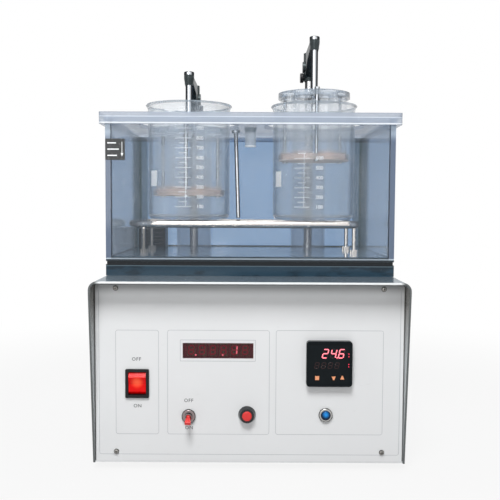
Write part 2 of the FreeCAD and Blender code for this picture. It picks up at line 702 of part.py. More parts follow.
def basket_plate(name, seat_up):
    """A round plate bored for six tubes, made about its own centre."""
    body = doc.addObject("PartDesign::Body", name)
    disc = sketch_on(body, name + "_disc", "XY_Plane")
    ring(disc, S.basket_radius)
    pad = body.newObject("PartDesign::Pad", name + "_pad")
    pad.Profile = disc
    bind(pad, "Length", S.plate_thick)
    doc.recompute()
    last = pad
    rows = [("bore", S.tube_circle, S.tube_radius - S.tube_wall, 6, 0, None),
            ("seat", S.tube_circle, S.tube_radius + S.fit_gap, 6, 0, S.tube_seat),
            ("tie", S.tie_circle, S.tie_radius, 3, 30, None)]
    for label, circle, radius, count, start, depth in rows:
        sketch = sketch_on(body, "%s_%s" % (name, label), "XY_Plane")
        angle = math.radians(start)
        ring(sketch, radius, (circle * math.cos(angle), circle * math.sin(angle)))
        if depth is not None and seat_up:
            sketch.AttachmentOffset = FreeCAD.Placement(V(0, 0, float(S.plate_thick)),
                                                        FreeCAD.Rotation())
            bind(sketch, "AttachmentOffset.Base.z", S.plate_thick)
        pocket = body.newObject("PartDesign::Pocket", "%s_%s_cut" % (name, label))
        pocket.Profile = sketch
        pocket.Reversed = not (depth is not None and seat_up)
        if depth is None:
            pocket.Type = "ThroughAll"
        else:
            bind(pocket, "Length", depth)
        doc.recompute()
        pattern = body.newObject("PartDesign::PolarPattern", "%s_%s_ring" % (name, label))
        pattern.Originals = [pocket]
        pattern.Axis = (sketch, ["N_Axis"])
        pattern.Angle = 360
        pattern.Occurrences = count
        body.Tip = pattern
        doc.recompute()
        last = pattern
    return body


def hexagon(name, radius, span, at):
    obj = doc.addObject("Part::Prism", name)
    obj.Polygon = 6
    bind(obj, "Circumradius", radius)
    bind(obj, "Height", span[1] - span[0])
    return move(obj, at[0], at[1], span[0])


def basket(side):
    """One basket-rack hanging from its arm by a headed rod."""
    x = station_x[side]
    at = (x, beaker_y)
    top = S.arm_top_mid + lift[side]
    plate_top = top - S.hanger_drop
    upper_low = plate_top - S.plate_thick
    tube_top = upper_low + S.tube_seat
    tube_low = tube_top - S.tube_long
    lower_top = tube_low + S.tube_seat
    lower_low = lower_top - S.plate_thick

    upper = basket_plate("upper_plate_" + side, False)
    eye = rod("upper_eye_" + side, S.hanger_radius + S.fit_gap, (-1, S.plate_thick + 1), (0, 0))
    upper = cut("upper_" + side, upper, eye)
    move(upper, x, beaker_y, upper_low)
    node(upper, "basket_%s_top_plate" % side)
    lower = basket_plate("lower_plate_" + side, True)
    move(lower, x, beaker_y, lower_low)
    node(lower, "basket_%s_bottom_plate" % side)

    tubes = []
    for i in range(6):
        spot = polar(at, S.tube_circle, 60 * i)
        tubes.append(cut("tube_%s_%d" % (side, i),
                         rod("tube_out_%s_%d" % (side, i), S.tube_radius, (tube_low, tube_top), spot),
                         rod("tube_in_%s_%d" % (side, i), S.tube_radius - S.tube_wall,
                             (tube_low - 1, tube_top + 1), spot)))
    node(group("tubes_" + side, *tubes), "basket_%s_glass_tubes" % side)

    mesh_z = (lower_low - S.mesh_thick, lower_low)
    ties = []
    notches = []
    for i in range(3):
        spot = polar(at, S.tie_circle, 30 + 120 * i)
        bar = rod("tie_%s_%d" % (side, i), S.tie_radius, (lower_low, plate_top), spot)
        cap = hexagon("tie_cap_%s_%d" % (side, i), S.tie_nut_radius,
                      (plate_top, plate_top + S.tie_nut_high), spot)
        foot = hexagon("tie_foot_%s_%d" % (side, i), S.tie_nut_radius,
                       (lower_low - S.tie_nut_high, lower_low), spot)
        ties.append(fuse("tie_rod_%s_%d" % (side, i), bar, cap, foot))
        notches.append(rod("tie_notch_%s_%d" % (side, i), S.tie_nut_radius + 0.2,
                           (mesh_z[0] - 1, mesh_z[1] + 1), spot))
    node(group("ties_" + side, *ties), "basket_%s_tie_rods" % side)
    disc = rod("mesh_disc_" + side, S.basket_radius - S.mesh_inset, mesh_z, at)
    node(cut("mesh_" + side, disc, *notches), "basket_%s_wire_mesh" % side)

    head_low = top + S.side_gap
    shaft = rod("hanger_shaft_" + side, S.hanger_radius,
                (upper_low - S.hanger_nut_high, head_low + S.head_high), at)
    head = rod("hanger_head_" + side, S.head_radius, (head_low, head_low + S.head_high), at)
    head = edge_round("hanger_head_soft_" + side, head, 1,
                      lambda e: centre(e).z > float(head_low) + 1)
    nut = hexagon("hanger_nut_" + side, S.hanger_nut_radius,
                  (upper_low - S.hanger_nut_high, upper_low), at)
    washer = rod("hanger_washer_" + side, 1.25 * S.hanger_nut_radius,
                 (plate_top, plate_top + 1.4), at)
    node(fuse("hanger_" + side, shaft, head, nut, washer), "basket_%s_hanger_rod" % side)


basket("left")
basket("right")

# ---------------------------------------------------------------- lid

lid_reach = S.lid_skirt_gap + S.lid_skirt_thick
lid_x = tank_half + lid_reach
lid_y = (tank_front - lid_reach, tank_rear + lid_reach)
lid_low = S.wall_top - S.lid_skirt_drop
lid_top = S.wall_top + S.lid_thick
lid_seat = S.wall_top + S.seat_gap
lid = box("lid_block", (-lid_x, lid_x), lid_y, (lid_low, lid_top + S.seat_gap))
lid = edge_round("lid_corners", lid, 3, lambda e: runs(e, Z))
hollow = box("lid_hollow", (-tank_half - S.lid_skirt_gap, tank_half + S.lid_skirt_gap),
             (tank_front - S.lid_skirt_gap, tank_rear + S.lid_skirt_gap),
             (lid_low - 1, lid_seat))
lid_through = (S.wall_top - 2, lid_top + 2)
probe_top_x = S.probe_x - (S.wall_top - S.probe_low) * math.tan(math.radians(float(S.probe_tilt)))
lid_cuts = [hollow]
for side in ("left", "right"):
    lid_cuts.append(rod("lid_hole_" + side, S.lid_hole_radius, lid_through,
                        (station_x[side], beaker_y)))
lid_cuts += column_holes("lid_column_hole", S.lid_column_hole_radius, lid_through)
probe_y = beaker_y + S.probe_back
lid_cuts.append(rod("lid_probe_hole", S.probe_radius + 0.7, lid_through, (probe_top_x, probe_y)))
node(cut("lid", lid, *lid_cuts), "tank_lid")

probe_nut = rod("probe_nut", S.probe_nut_radius, (lid_seat - S.probe_nut_high, lid_seat),
                (probe_top_x, probe_y))
probe_rod = doc.addObject("Part::Cylinder", "probe_rod")
bind(probe_rod, "Radius", S.probe_radius)
bind(probe_rod, "Height", lid_top - S.probe_low - 0.6)
move(probe_rod, S.probe_x, probe_y, S.probe_low, axis=Y, angle=-float(S.probe_tilt))
probe_rod = edge_round("probe_tip", probe_rod, 0.8, lambda e: True)
node(fuse("probe", probe_rod, probe_nut), "temperature_probe")

sleeve_top = lid_seat - S.sleeve_nut_high
sleeve_at = (0 * S.sleeve_radius, beaker_y)
sleeve_tube = cut("sleeve_tube",
                  rod("sleeve_out", S.sleeve_radius, (sleeve_top - S.sleeve_drop, sleeve_top),
                      sleeve_at),
                  rod("sleeve_in", S.sleeve_radius - S.sleeve_wall,
                      (sleeve_top - S.sleeve_drop - 1, sleeve_top - 1.5), sleeve_at))
sleeve_nut = hexagon("sleeve_nut", 1.12 * S.sleeve_radius, (sleeve_top, lid_seat), sleeve_at)
node(fuse("sleeve", sleeve_tube, sleeve_nut), "sensor_sleeve")

# ---------------------------------------------------------------- inner drive

drive_x = S.station_shift
plate_y = (column_y + 20, column_y + 20 + S.frame_plate)
frame_x = (drive_x - S.frame_half_width, drive_x + S.frame_half_width)
frame_low = (base_top, base_top + 3)
upper_shelf = (under_cover - 16, under_cover - 16 + S.shelf_thick)
lower_shelf = (S.lower_bush_low + 3, S.lower_bush_low + 3 + S.shelf_thick)
max_swing = math.atan(float(S.stroke) / float(S.station_pitch))
crank_throw = S.rod_offset * math.sin(max_swing)
rest = math.radians(swing)
crank_x = drive_x + S.rod_offset
crank_z = S.drive_mid - S.rod_long
rod_back = beam_front - 0.5
rod_front = rod_back - S.rod_thick
disc_back = rod_front - S.side_gap - 2
disc_front = disc_back - S.crank_thick
plate_back = disc_front - S.crank_plate_gap
motor_plate = (plate_back - S.frame_plate, plate_back)
frame = [box("frame_back", frame_x, plate_y, (base_top, under_cover - 6)),
         box("frame_floor", frame_x, (motor_plate[0], plate_y[1]), frame_low),
         box("frame_motor_plate", (crank_x - S.gearbox_width / 2 - 6, crank_x + S.gearbox_width / 2 + 6),
             motor_plate, (base_top, crank_z + S.gearbox_high / 2 + 6)),
         rod("frame_boss", S.pivot_boss_radius, (beam_back + 0.5, plate_y[1]),
             (drive_x, S.drive_mid), "Y")]
for label, shelf in (("upper", upper_shelf), ("lower", lower_shelf)):
    for side in ("left", "right"):
        frame.append(box("frame_%s_%s" % (label, side),
                         (station_x[side] - 16, station_x[side] + 16),
                         (column_y - 14, plate_y[0]), shelf))
bores = [rod("frame_pivot_bore", S.pivot_radius + S.run_gap, (beam_back, plate_y[1] + 1),
             (drive_x, S.drive_mid), "Y"),
         rod("frame_shaft_bore", S.crank_shaft_radius + 2, (motor_plate[0] - 1, motor_plate[1] + 1),
             (crank_x, crank_z), "Y")]
for label, shelf in (("upper", upper_shelf), ("lower", lower_shelf)):
    bores += column_holes("frame_%s_bore" % label, S.bush_radius + S.fit_gap, (shelf[0] - 1, shelf[1] + 1))
node(cut("frame", fuse("frame_solid", *frame), *bores), "drive_frame")

bushes = []
upper_bush = (upper_shelf[0] - 3, upper_shelf[0] - 3 + S.bush_long)
lower_bush = (S.lower_bush_low, S.lower_bush_low + S.lower_bush_long)
for side in ("left", "right"):
    at = (station_x[side], column_y)
    for label, span, shelf in (("upper", upper_bush, upper_shelf),
                               ("lower", lower_bush, lower_shelf)):
        name = "bush_%s_%s" % (label, side)
        sleeve = rod(name + "_sleeve", S.bush_radius, span, at)
        flange = rod(name + "_flange", S.bush_flange_radius, (span[0], shelf[0]), at)
        bushes.append(cut(name, fuse(name + "_solid", sleeve, flange),
                          rod(name + "_bore", S.column_radius + S.run_gap,
                              (span[0] - 1, span[1] + 1), at)))
node(group("bushes", *bushes), "column_bushes")

gearbox = box("gearbox_block", (crank_x - S.gearbox_width / 2, crank_x + S.gearbox_width / 2),
              (motor_plate[0] - S.gearbox_deep, motor_plate[0]),
              (crank_z - S.gearbox_high / 2, crank_z + S.gearbox_high / 2))
gearbox = edge_round("gearbox_soft", gearbox, 5, lambda e: runs(e, Y))
motor = rod("motor_can", S.motor_radius,
            (motor_plate[0] - S.gearbox_deep - S.motor_long, motor_plate[0] - S.gearbox_deep),
            (crank_x, crank_z - S.motor_drop), "Y")
motor = edge_round("motor_soft", motor, 3, lambda e: centre(e).y < float(motor_plate[0] - S.gearbox_deep) - 1)
shaft_room = rod("gearbox_bore", S.crank_shaft_radius + S.run_gap,
                 (motor_plate[0] - S.shaft_seat - 2, motor_plate[0] + 1), (crank_x, crank_z), "Y")
node(cut("gear_motor", fuse("gear_motor_solid", gearbox, motor), shaft_room), "gear_motor")

# walking beam, made level about its pivot and then turned to the rest pose
arm_long = S.station_pitch / 2
pin_gap = S.pin_radius + S.slot_gap
slot_in = arm_long - 0.5
slot_out = arm_long / math.cos(max_swing) + 0.7
tip = slot_out + pin_gap + 4.5
beam_half = S.beam_high / 2
end_half = pin_gap + 4.2
beam_points = [(-tip, -end_half), (-tip, end_half), (-0.25 * arm_long, beam_half + 2),
               (0.25 * arm_long, beam_half + 2), (tip, end_half), (tip, -end_half),
               (0.25 * arm_long, -beam_half - 2), (-0.25 * arm_long, -beam_half - 2)]
bar = pad_body("beam_bar", "XZ_Plane", beam_points, (beam_front, beam_back))
slot_y = (beam_front - 1, beam_back + 1)
beam_cuts = []
for label, sign in (("left", -1), ("right", 1)):
    ends = (sign * slot_in, sign * slot_out)
    span = ends if sign > 0 else (ends[1], ends[0])
    beam_cuts.append(box("slot_%s" % label, span, slot_y, (-pin_gap, pin_gap)))
    for i, end in enumerate(ends):
        beam_cuts.append(rod("slot_%s_%d" % (label, i), pin_gap, slot_y, (end, 0), "Y"))
beam = cut("beam_slotted", bar, *beam_cuts)
pivot_pin = rod("beam_pivot", S.pivot_radius, (beam_front, plate_y[1] + 2), (0, 0), "Y")
drive_pin = rod("beam_rod_pin", S.rod_pin_radius, (rod_front - 0.2, beam_front),
                (S.rod_offset, 0), "Y")
beam = fuse("beam", beam, pivot_pin, drive_pin)
beam.Placement = FreeCAD.Placement(V(0, 0, 0), FreeCAD.Rotation(Y, -swing))
bind(beam, "Placement.Base.x", drive_x)
bind(beam, "Placement.Base.z", S.drive_mid)
node(beam, "walking_beam")

# crank and connecting rod: the triangle of crank centre, pin and rod eye
eye_dx = float(S.rod_offset) * (math.cos(rest) - 1)
eye_dz = float(S.rod_long) + float(S.rod_offset) * math.sin(rest)
reach = math.hypot(eye_dx, eye_dz)
throw = float(crank_throw)
long = float(S.rod_long)
lean = math.acos((throw ** 2 + reach ** 2 - long ** 2) / (2 * throw * reach))
crank_turn = lean + math.atan2(eye_dx, eye_dz)
pin_dx = throw * math.sin(crank_turn)
pin_dz = throw * math.cos(crank_turn)
rod_lean = math.atan2(pin_dx - eye_dx, eye_dz - pin_dz)

link_y = (rod_front, rod_back)
link = [rod("link_small_eye", S.rod_eye_radius, link_y, (0, 0), "Y"),
        rod("link_big_eye", S.rod_eye_radius, link_y, (0, -S.rod_long), "Y"),
        box("link_shank", (-0.5 * S.rod_eye_radius, 0.5 * S.rod_eye_radius), link_y,
            (-S.rod_long, 0 * S.rod_long))]
link_cuts = [rod("link_small_bore", S.rod_pin_radius + S.run_gap, (rod_front - 1, rod_back + 1),
                 (0, 0), "Y"),
             rod("link_big_bore", S.rod_pin_radius + S.side_gap, (rod_front - 1, rod_back + 1),
                 (0, -S.rod_long), "Y")]
rod_link = cut("link", fuse("link_solid", *link), *link_cuts)
rod_link.Placement = FreeCAD.Placement(V(0, 0, 0),
                                       FreeCAD.Rotation(Y, -math.degrees(rod_lean)))
bind(rod_link, "Placement.Base.x", drive_x + S.rod_offset * math.cos(rest))
bind(rod_link, "Placement.Base.z", S.drive_mid + S.rod_offset * math.sin(rest))
node(rod_link, "connecting_rod")

disc = rod("crank_disc", S.crank_radius, (disc_front, disc_back), (0, 0), "Y")
disc = edge_round("crank_soft", disc, 0.8, lambda e: True, "Part::Chamfer")
shaft = rod("crank_shaft", S.crank_shaft_radius, (motor_plate[0] - S.shaft_seat, disc_front),
            (0, 0), "Y")
pin = rod("crank_pin", S.rod_pin_radius, (disc_back, rod_front - S.side_gap),
          (0, crank_throw), "Y")
relief = [rod("crank_relief_%d" % i, 0.2 * S.crank_radius, (disc_front - 1, disc_back + 1),
              polar((0, 0), 0.62 * S.crank_radius, 210 + 60 * i), "Y") for i in range(3)]
crank = fuse("crank", cut("crank_plate", disc, *relief), shaft, pin)
crank.Placement = FreeCAD.Placement(V(0, 0, 0),
                                    FreeCAD.Rotation(Y, math.degrees(crank_turn)))
bind(crank, "Placement.Base.x", crank_x)
bind(crank, "Placement.Base.z", crank_z)
node(crank, "drive_crank")

# ---------------------------------------------------------------- electrics inside

supply_x = (S.supply_inset - panel_half, S.supply_inset - panel_half + S.supply_width)
supply_y = (motor_plate[0] - S.supply_gap - S.supply_depth, motor_plate[0] - S.supply_gap)
supply_z = (base_top, base_top + S.supply_high)
case = box("supply_case", supply_x, supply_y, supply_z)
fins = [box("supply_slot_%d" % i,
            (supply_x[0] + S.fin_pitch * (i + 1), supply_x[0] + S.fin_pitch * (i + 1.375)),
            (supply_y[0] + S.fin_inset, supply_y[1] - S.fin_inset),
            (supply_z[1] - 2, supply_z[1] + 1))
        for i in range(7)]
node(cut("supply", case, *fins), "power_supply")

inlet_half = (S.inlet_width / 2, S.inlet_high / 2)
inlet = fuse("inlet_solid",
             box("inlet_flange", (inlet_x - inlet_half[0], inlet_x + inlet_half[0]),
                 (back_face, rear), (S.inlet_z - inlet_half[1], S.inlet_z + inlet_half[1])),
             box("inlet_case", (inlet_x - inlet_half[0] + 6, inlet_x + inlet_half[0] - 6),
                 (rear - S.inlet_deep, rear),
                 (S.inlet_z - inlet_half[1] + 3, S.inlet_z + inlet_half[1] - 3)))
well = box("inlet_well", (inlet_x - 12, inlet_x + 12), (rear - S.inlet_deep + 6, rear + 1),
           (S.inlet_z - 8.2, S.inlet_z + 8.2))
well = edge_round("inlet_well_cut", well, 4.5,
                  lambda e: runs(e, Y) and centre(e).z > float(S.inlet_z), "Part::Chamfer")
blades = [box("inlet_blade_%d" % i, (inlet_x + bx - 1, inlet_x + bx + 1),
              (rear - S.inlet_deep + 4, rear - 4), (S.inlet_z + bz - 2, S.inlet_z + bz + 2))
          for i, (bx, bz) in enumerate(((-7, -2), (7, -2), (0, 2)))]
node(fuse("inlet", cut("inlet_shell", inlet, well), *blades), "mains_inlet")

# ---------------------------------------------------------------- panel controls

# lit mains rocker
pivot_y = face + 3
lip_y = face - S.switch_lip
well_half = (switch_half[0] - S.switch_rim, switch_half[1] - S.switch_rim)
lip = box("switch_bezel", (switch_x - switch_half[0], switch_x + switch_half[0]),
          (lip_y, face), (S.switch_z - switch_half[1], S.switch_z + switch_half[1]))
lip = edge_round("switch_bezel_soft", lip, 1.4, lambda e: runs(e, Y))
housing = box("switch_case",
              (switch_x - switch_half[0] + body_trim, switch_x + switch_half[0] - body_trim),
              (face, face + S.switch_body_depth),
              (S.switch_z - switch_half[1] + body_trim, S.switch_z + switch_half[1] - body_trim))
well = box("switch_well", (switch_x - well_half[0], switch_x + well_half[0]),
           (lip_y - 1, pivot_y + 5), (S.switch_z - well_half[1], S.switch_z + well_half[1]))
trunnion_x = (switch_x - well_half[0] - 1.1, switch_x + well_half[0] + 1.1)
sockets = rod("switch_sockets", 1.3 + S.run_gap, (trunnion_x[0] - 0.1, trunnion_x[1] + 0.1),
              (pivot_y, S.switch_z), "X")
node(cut("switch_body", fuse("switch_solid", lip, housing), well, sockets),
     "mains_switch_body")

reach_z = well_half[1] - 0.9
rocker_half = well_half[0] - S.switch_gap
slope = math.tan(math.radians(float(S.switch_tilt)))
crown = [(-4.2, 0), (-4.2 - slope * 0.7 * reach_z, 0.7 * reach_z),
         (-2.6, reach_z), (0.8, reach_z), (1.8, 0), (0.8, -reach_z),
         (-2.6, -reach_z), (-4.2 - slope * 0.7 * reach_z, -0.7 * reach_z)]
paddle = pad_body("rocker_paddle", "YZ_Plane", crown, (-rocker_half, rocker_half))
trunnion = rod("rocker_trunnion", 1.3, (-well_half[0] - 1, well_half[0] + 1), (0, 0), "X")
rocker = fuse("rocker", paddle, trunnion)
rocker.Placement = FreeCAD.Placement(V(0, 0, 0), FreeCAD.Rotation(X, float(S.switch_tilt)))
bind(rocker, "Placement.Base.x", switch_x)
bind(rocker, "Placement.Base.y", pivot_y)
bind(rocker, "Placement.Base.z", S.switch_z)
node(rocker, "mains_rocker")

# timer window and its digit board
timer_half = (S.timer_width / 2, S.timer_high / 2)
pane = box("timer_pane", (S.timer_x - timer_half[0], S.timer_x + timer_half[0]),
           (face + 0.2, panel_back), (S.timer_z - timer_half[1], S.timer_z + timer_half[1]))
pane_flange = box("timer_flange",
                  (S.timer_x - timer_half[0] - S.timer_flange, S.timer_x + timer_half[0] + S.timer_flange),
                  (panel_back, panel_back + 1.6),
                  (S.timer_z - timer_half[1] - S.timer_flange, S.timer_z + timer_half[1] + S.timer_flange))
node(fuse("timer_lens", pane, pane_flange), "timer_window")
board_y = panel_back + 1.6
board = [box("timer_card", (S.timer_x - timer_half[0] - 5, S.timer_x + timer_half[0] + 5),
             (board_y + 7, board_y + 8.6), (S.timer_z - 2 * timer_half[1], S.timer_z + 2 * timer_half[1]))]
for i in range(6):
    middle = S.timer_x + (i - 2.5) * S.digit_pitch
    board.append(box("timer_digit_%d" % i, (middle - S.digit_width / 2, middle + S.digit_width / 2),
                     (board_y, board_y + 7), (S.timer_z - S.digit_high / 2, S.timer_z + S.digit_high / 2)))
node(fuse("timer_card_solid", *board), "timer_board")

# toggle with a flat red paddle
spot = (S.toggle_x, S.toggle_z)
toggle_front = face - 5
nut = rod("toggle_nut", S.toggle_nut_radius, (face - 2.6, face), spot, "Y")
nut = edge_round("toggle_nut_soft", nut, 0.9, lambda e: centre(e).y < float(face) - 1)
bush = rod("toggle_bush", S.toggle_bush_radius, (toggle_front, panel_back), spot, "Y")
case = box("toggle_case", (S.toggle_x - 6.5, S.toggle_x + 6.5), (panel_back, panel_back + 19),
           (S.toggle_z - 9, S.toggle_z + 9))
mouth = rod("toggle_mouth", 0.75 * S.toggle_bush_radius, (toggle_front - 1, toggle_front + 5),
            spot, "Y")
node(cut("toggle_body", fuse("toggle_solid", nut, bush, case), mouth), "toggle_switch_body")
lever_flat = pad_body("lever_flat", "XY_Plane", [
    (-2.3, -3), (2.3, -3), (3.4, -S.toggle_lever_long), (-3.4, -S.toggle_lever_long)], (-2, 2))
lever_flat = edge_round("lever_soft", lever_flat, 0.9, lambda e: True)
neck = rod("lever_neck", 1.5, (-S.toggle_lever_long / 2, 1 + 0 * S.toggle_lever_long), (0, 0), "Y")
ball = doc.addObject("Part::Sphere", "lever_ball")
ball.Radius = 2.3
lever = fuse("lever", lever_flat, neck, ball)
lever.Placement = FreeCAD.Placement(V(0, 0, 0), FreeCAD.Rotation(X, float(S.toggle_throw)))
bind(lever, "Placement.Base.x", S.toggle_x)
bind(lever, "Placement.Base.y", toggle_front + 0.6)
bind(lever, "Placement.Base.z", S.toggle_z)
node(lever, "toggle_lever")

# push button
spot = (S.button_x, S.button_z)
collar = cone("button_collar", 0.8 * S.button_ring_radius, S.button_ring_radius,
              (face - S.button_ring_high, face), spot, "Y")
barrel = rod("button_barrel", S.button_ring_radius - body_trim, (face, face + 24), spot, "Y")
bore = rod("button_bore", S.button_cap_radius + 0.1, (face - S.button_ring_high - 1, face + 8.5),
           spot, "Y")
node(cut("button_housing", fuse("button_solid", collar, barrel), bore), "push_button_body")
cap_front = face - S.button_cap_high
cap = rod("button_plunger", S.button_cap_radius, (cap_front, face + 5), spot, "Y")
cap = edge_round("button_cap_soft", cap, 1.1, lambda e: centre(e).y < float(face) - 2)
node(cap, "push_button_cap")

# temperature controller with three keys
spot = (meter_x, S.meter_z)
side_half = S.meter_side / 2
bezel_front = face - S.meter_bezel_deep
bezel = box("meter_bezel", (meter_x - side_half, meter_x + side_half), (bezel_front, face),
            (S.meter_z - side_half, S.meter_z + side_half))
bezel = edge_round("meter_bezel_corners", bezel, 3.4, lambda e: runs(e, Y))
body_half = S.meter_body_side / 2
tail = box("meter_tail", (meter_x - body_half, meter_x + body_half),
           (face, face + S.meter_body_deep), (S.meter_z - body_half, S.meter_z + body_half))
fascia_y = bezel_front + 1
recess = box("meter_recess", (meter_x - side_half + 2.4, meter_x + side_half - 2.4),
             (bezel_front - 1, fascia_y),
             (S.meter_z - side_half + 2.4, S.meter_z + side_half - 2.4))
half_key = S.key_size / 2
key_spots = {"set": (meter_x - 12.7, S.meter_z - 14.8),
             "down": (meter_x + 4.6, S.meter_z - 14.8),
             "up": (meter_x + 13.7, S.meter_z - 14.5)}


def key_outline(kind, spot, grow):
    """Corners of one key, grown by a clearance."""
    a = half_key + grow
    if kind == "set":
        return [(spot[0] - a, spot[1] - a), (spot[0] + a, spot[1] - a),
                (spot[0] + a, spot[1] + a), (spot[0] - a, spot[1] + a)]
    b = half_key + 1.7 * grow
    point = -1 if kind == "down" else 1
    return [(spot[0] - b, spot[1] - point * 0.8 * b), (spot[0] + b, spot[1] - point * 0.8 * b),
            (spot[0] + 0.3 * b, spot[1] + point * b), (spot[0] - 0.3 * b, spot[1] + point * b)]


key_room = fascia_y + 2.6
key_holes = [pad_body("key_hole_" + kind, "XZ_Plane", key_outline(kind, at, S.key_gap),
                      (fascia_y - 1, key_room)) for kind, at in key_spots.items()]
node(cut("meter", fuse("meter_solid", bezel, tail), recess, *key_holes), "temperature_controller")
for kind, at in key_spots.items():
    key = pad_body("key_" + kind, "XZ_Plane", key_outline(kind, at, 0 * S.key_gap),
                   (fascia_y - 0.7, key_room - S.key_travel - 0.1))
    node(key, "controller_key_" + kind)

# blue heater lamp
spot = (lamp_x, S.lamp_z)
lens_room = S.lamp_lens_radius + S.fit_gap
lamp_ring = rod("lamp_ring", S.lamp_ring_radius, (face - 2.2, face), spot, "Y")
lamp_ring = edge_round("lamp_ring_soft", lamp_ring, 0.9, lambda e: centre(e).y < float(face) - 1)
lamp_case = rod("lamp_case", S.lamp_lens_radius + S.lamp_case_wall, (face, face + S.lamp_body_deep), spot, "Y")
lamp_bore = rod("lamp_bore", lens_room, (face - 4, face + 4), spot, "Y")
node(cut("lamp", fuse("lamp_solid", lamp_ring, lamp_case), lamp_bore), "heater_lamp_bezel")
lens = rod("lamp_lens", S.lamp_lens_radius, (face - 4.6, face + 4), spot, "Y")
lens = edge_round("lamp_dome", lens, 3.4, lambda e: centre(e).y < float(face) - 2)
node(lens, "heater_lamp_lens")

# ---------------------------------------------------------------- write

doc.recompute()
faults = [obj.Name for obj in doc.Objects if "Invalid" in obj.State or "Error" in obj.State]
if faults:
    raise RuntimeError("features failed: %s" % faults)
os.makedirs("parts", exist_ok=True)
triangles = 0
for label, obj in NODES:
    shape = obj.Shape
    if shape.isNull() or not shape.isValid() or not shape.Solids:
        raise RuntimeError("bad shape: " + label)
    shape.exportStep("parts/%s.step" % label)
    triangles += len(shape.tessellate(0.2)[1])
print("nodes", len(NODES), "triangles", triangles)
print("rest swing deg", swing, "crank turn deg", math.degrees(crank_turn),
      "rod lean deg", math.degrees(rod_lean), "throw", throw)
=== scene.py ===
import math

import bmesh
import bpy
from mathutils import Matrix, Vector


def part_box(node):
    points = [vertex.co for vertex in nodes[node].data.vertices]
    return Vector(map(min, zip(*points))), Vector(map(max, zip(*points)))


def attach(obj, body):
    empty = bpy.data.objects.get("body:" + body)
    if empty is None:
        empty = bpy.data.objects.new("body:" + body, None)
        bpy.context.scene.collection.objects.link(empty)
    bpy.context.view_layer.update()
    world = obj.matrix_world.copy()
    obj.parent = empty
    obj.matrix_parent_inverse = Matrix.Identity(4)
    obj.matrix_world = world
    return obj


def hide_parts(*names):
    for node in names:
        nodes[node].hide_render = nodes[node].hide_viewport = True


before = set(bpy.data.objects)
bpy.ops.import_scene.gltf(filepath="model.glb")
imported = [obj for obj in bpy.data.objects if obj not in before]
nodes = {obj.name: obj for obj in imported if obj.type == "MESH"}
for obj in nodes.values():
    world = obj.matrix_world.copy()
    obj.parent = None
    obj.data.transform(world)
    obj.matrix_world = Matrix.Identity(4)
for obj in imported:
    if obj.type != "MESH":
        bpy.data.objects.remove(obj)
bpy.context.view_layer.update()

# Lengths are millimetres unless a comment says metres, and MM turns them into metres.
MM = 0.001

# ---------------- places taken from the frame


def node_box(name):
    """Low and high corner of a CAD node, in millimetres."""
    low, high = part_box(name)
    return Vector(low) / MM, Vector(high) / MM


def middle(name):
    low, high = node_box(name)
    return (low + high) / 2


SIDES = ("left", "right")
panel_face = node_box("front_panel")[0].y
tank_face = node_box("tank_front_wall")[0].y
cover_front = node_box("cabinet_cover")[0].y
lid_top = node_box("tank_lid")[1].z
beaker_foot, beaker_rim = (corner.z for corner in node_box("beaker_left"))
BEAKER_RADIUS = 50.25
BEAKER_Y = middle("basket_left_top_plate").y
STATION_X = {side: middle("basket_%s_top_plate" % side).x for side in SIDES}

# Below VISOR_LOW the visor's front edge leans back, by VISOR_LEAN for each millimetre down.
VISOR_LOW = 189.9
VISOR_LEAN = 0.1045

# Where a finish changes across a piece, as (last of one, first of the other).
# The next five bound the cover's painted light: shade on its flanks, a reflection on its top face,
# and a highlight and shade on its front edge.
COVER_FLANK_X = (161.5, 162.5)
COVER_FLANK_SHADE_Z = (110, 190)
COVER_TOP_Z = (200.5, 201.2)
COVER_EDGE_HIGHLIGHT_X = (153, 159)
COVER_EDGE_PAINT_DEPTH = (0.3, 0.9)
# The next two bound the panel's painted shadow under the visor and painted shade in its side gaps.
PANEL_VISOR_SHADOW_Z = (185, 199)
PANEL_GAP_SHADE_X = (161.8, 162.2)
# The next three bound the rack's painted reflection above its feet and painted shade on its legs
# by the heater.
RACK_FOOT_Z = (229, 230)
RACK_LEG_Z = (251, 253)
RACK_LEG_SHADE_X = (-104, -100)
# Columns get painted shade below this height, in the tank.
COLUMN_SHADE_Z = (334, 340)


# ---------------- shader writing

class Wire:
    """A shader socket; arithmetic on it adds Math nodes."""

    def __init__(self, net, socket):
        self.net = net
        self.socket = socket

    def math(self, operation, *terms, clamp=False):
        settings = {"operation": operation, "use_clamp": clamp}
        return self.net.add("ShaderNodeMath", settings, dict(enumerate((self,) + terms)))

    def __add__(self, other):
        return self.math("ADD", other)

    def __sub__(self, other):
        return self.math("SUBTRACT", other)

    def __mul__(self, other):
        return self.math("MULTIPLY", other)

    def __truediv__(self, other):
        return self.math("DIVIDE", other)

    def __pow__(self, other):
        return self.math("POWER", other)

    def __rsub__(self, other):
        return self.net.number(other) - self

    def abs(self):
        return self.math("ABSOLUTE")

    def clamp(self):
        return self.math("ADD", 0.0, clamp=True)

    def soft_step(self, low, high):
        """0 below low, 1 above high, smooth between."""
        settings = {"interpolation_type": "SMOOTHSTEP"}
        return self.net.add("ShaderNodeMapRange", settings,
                            {"Value": self, "From Min": low, "From Max": high})

    def past(self, limits):
        """soft_step of a place along an axis, with its two limits in millimetres."""
        return self.soft_step(limits[0] * MM, limits[1] * MM)

    def band(self, centre, half, soft):
        """1 within half of centre, fading over soft, all in millimetres."""
        return 1 - (self - centre * MM).abs().past((half, half + soft))


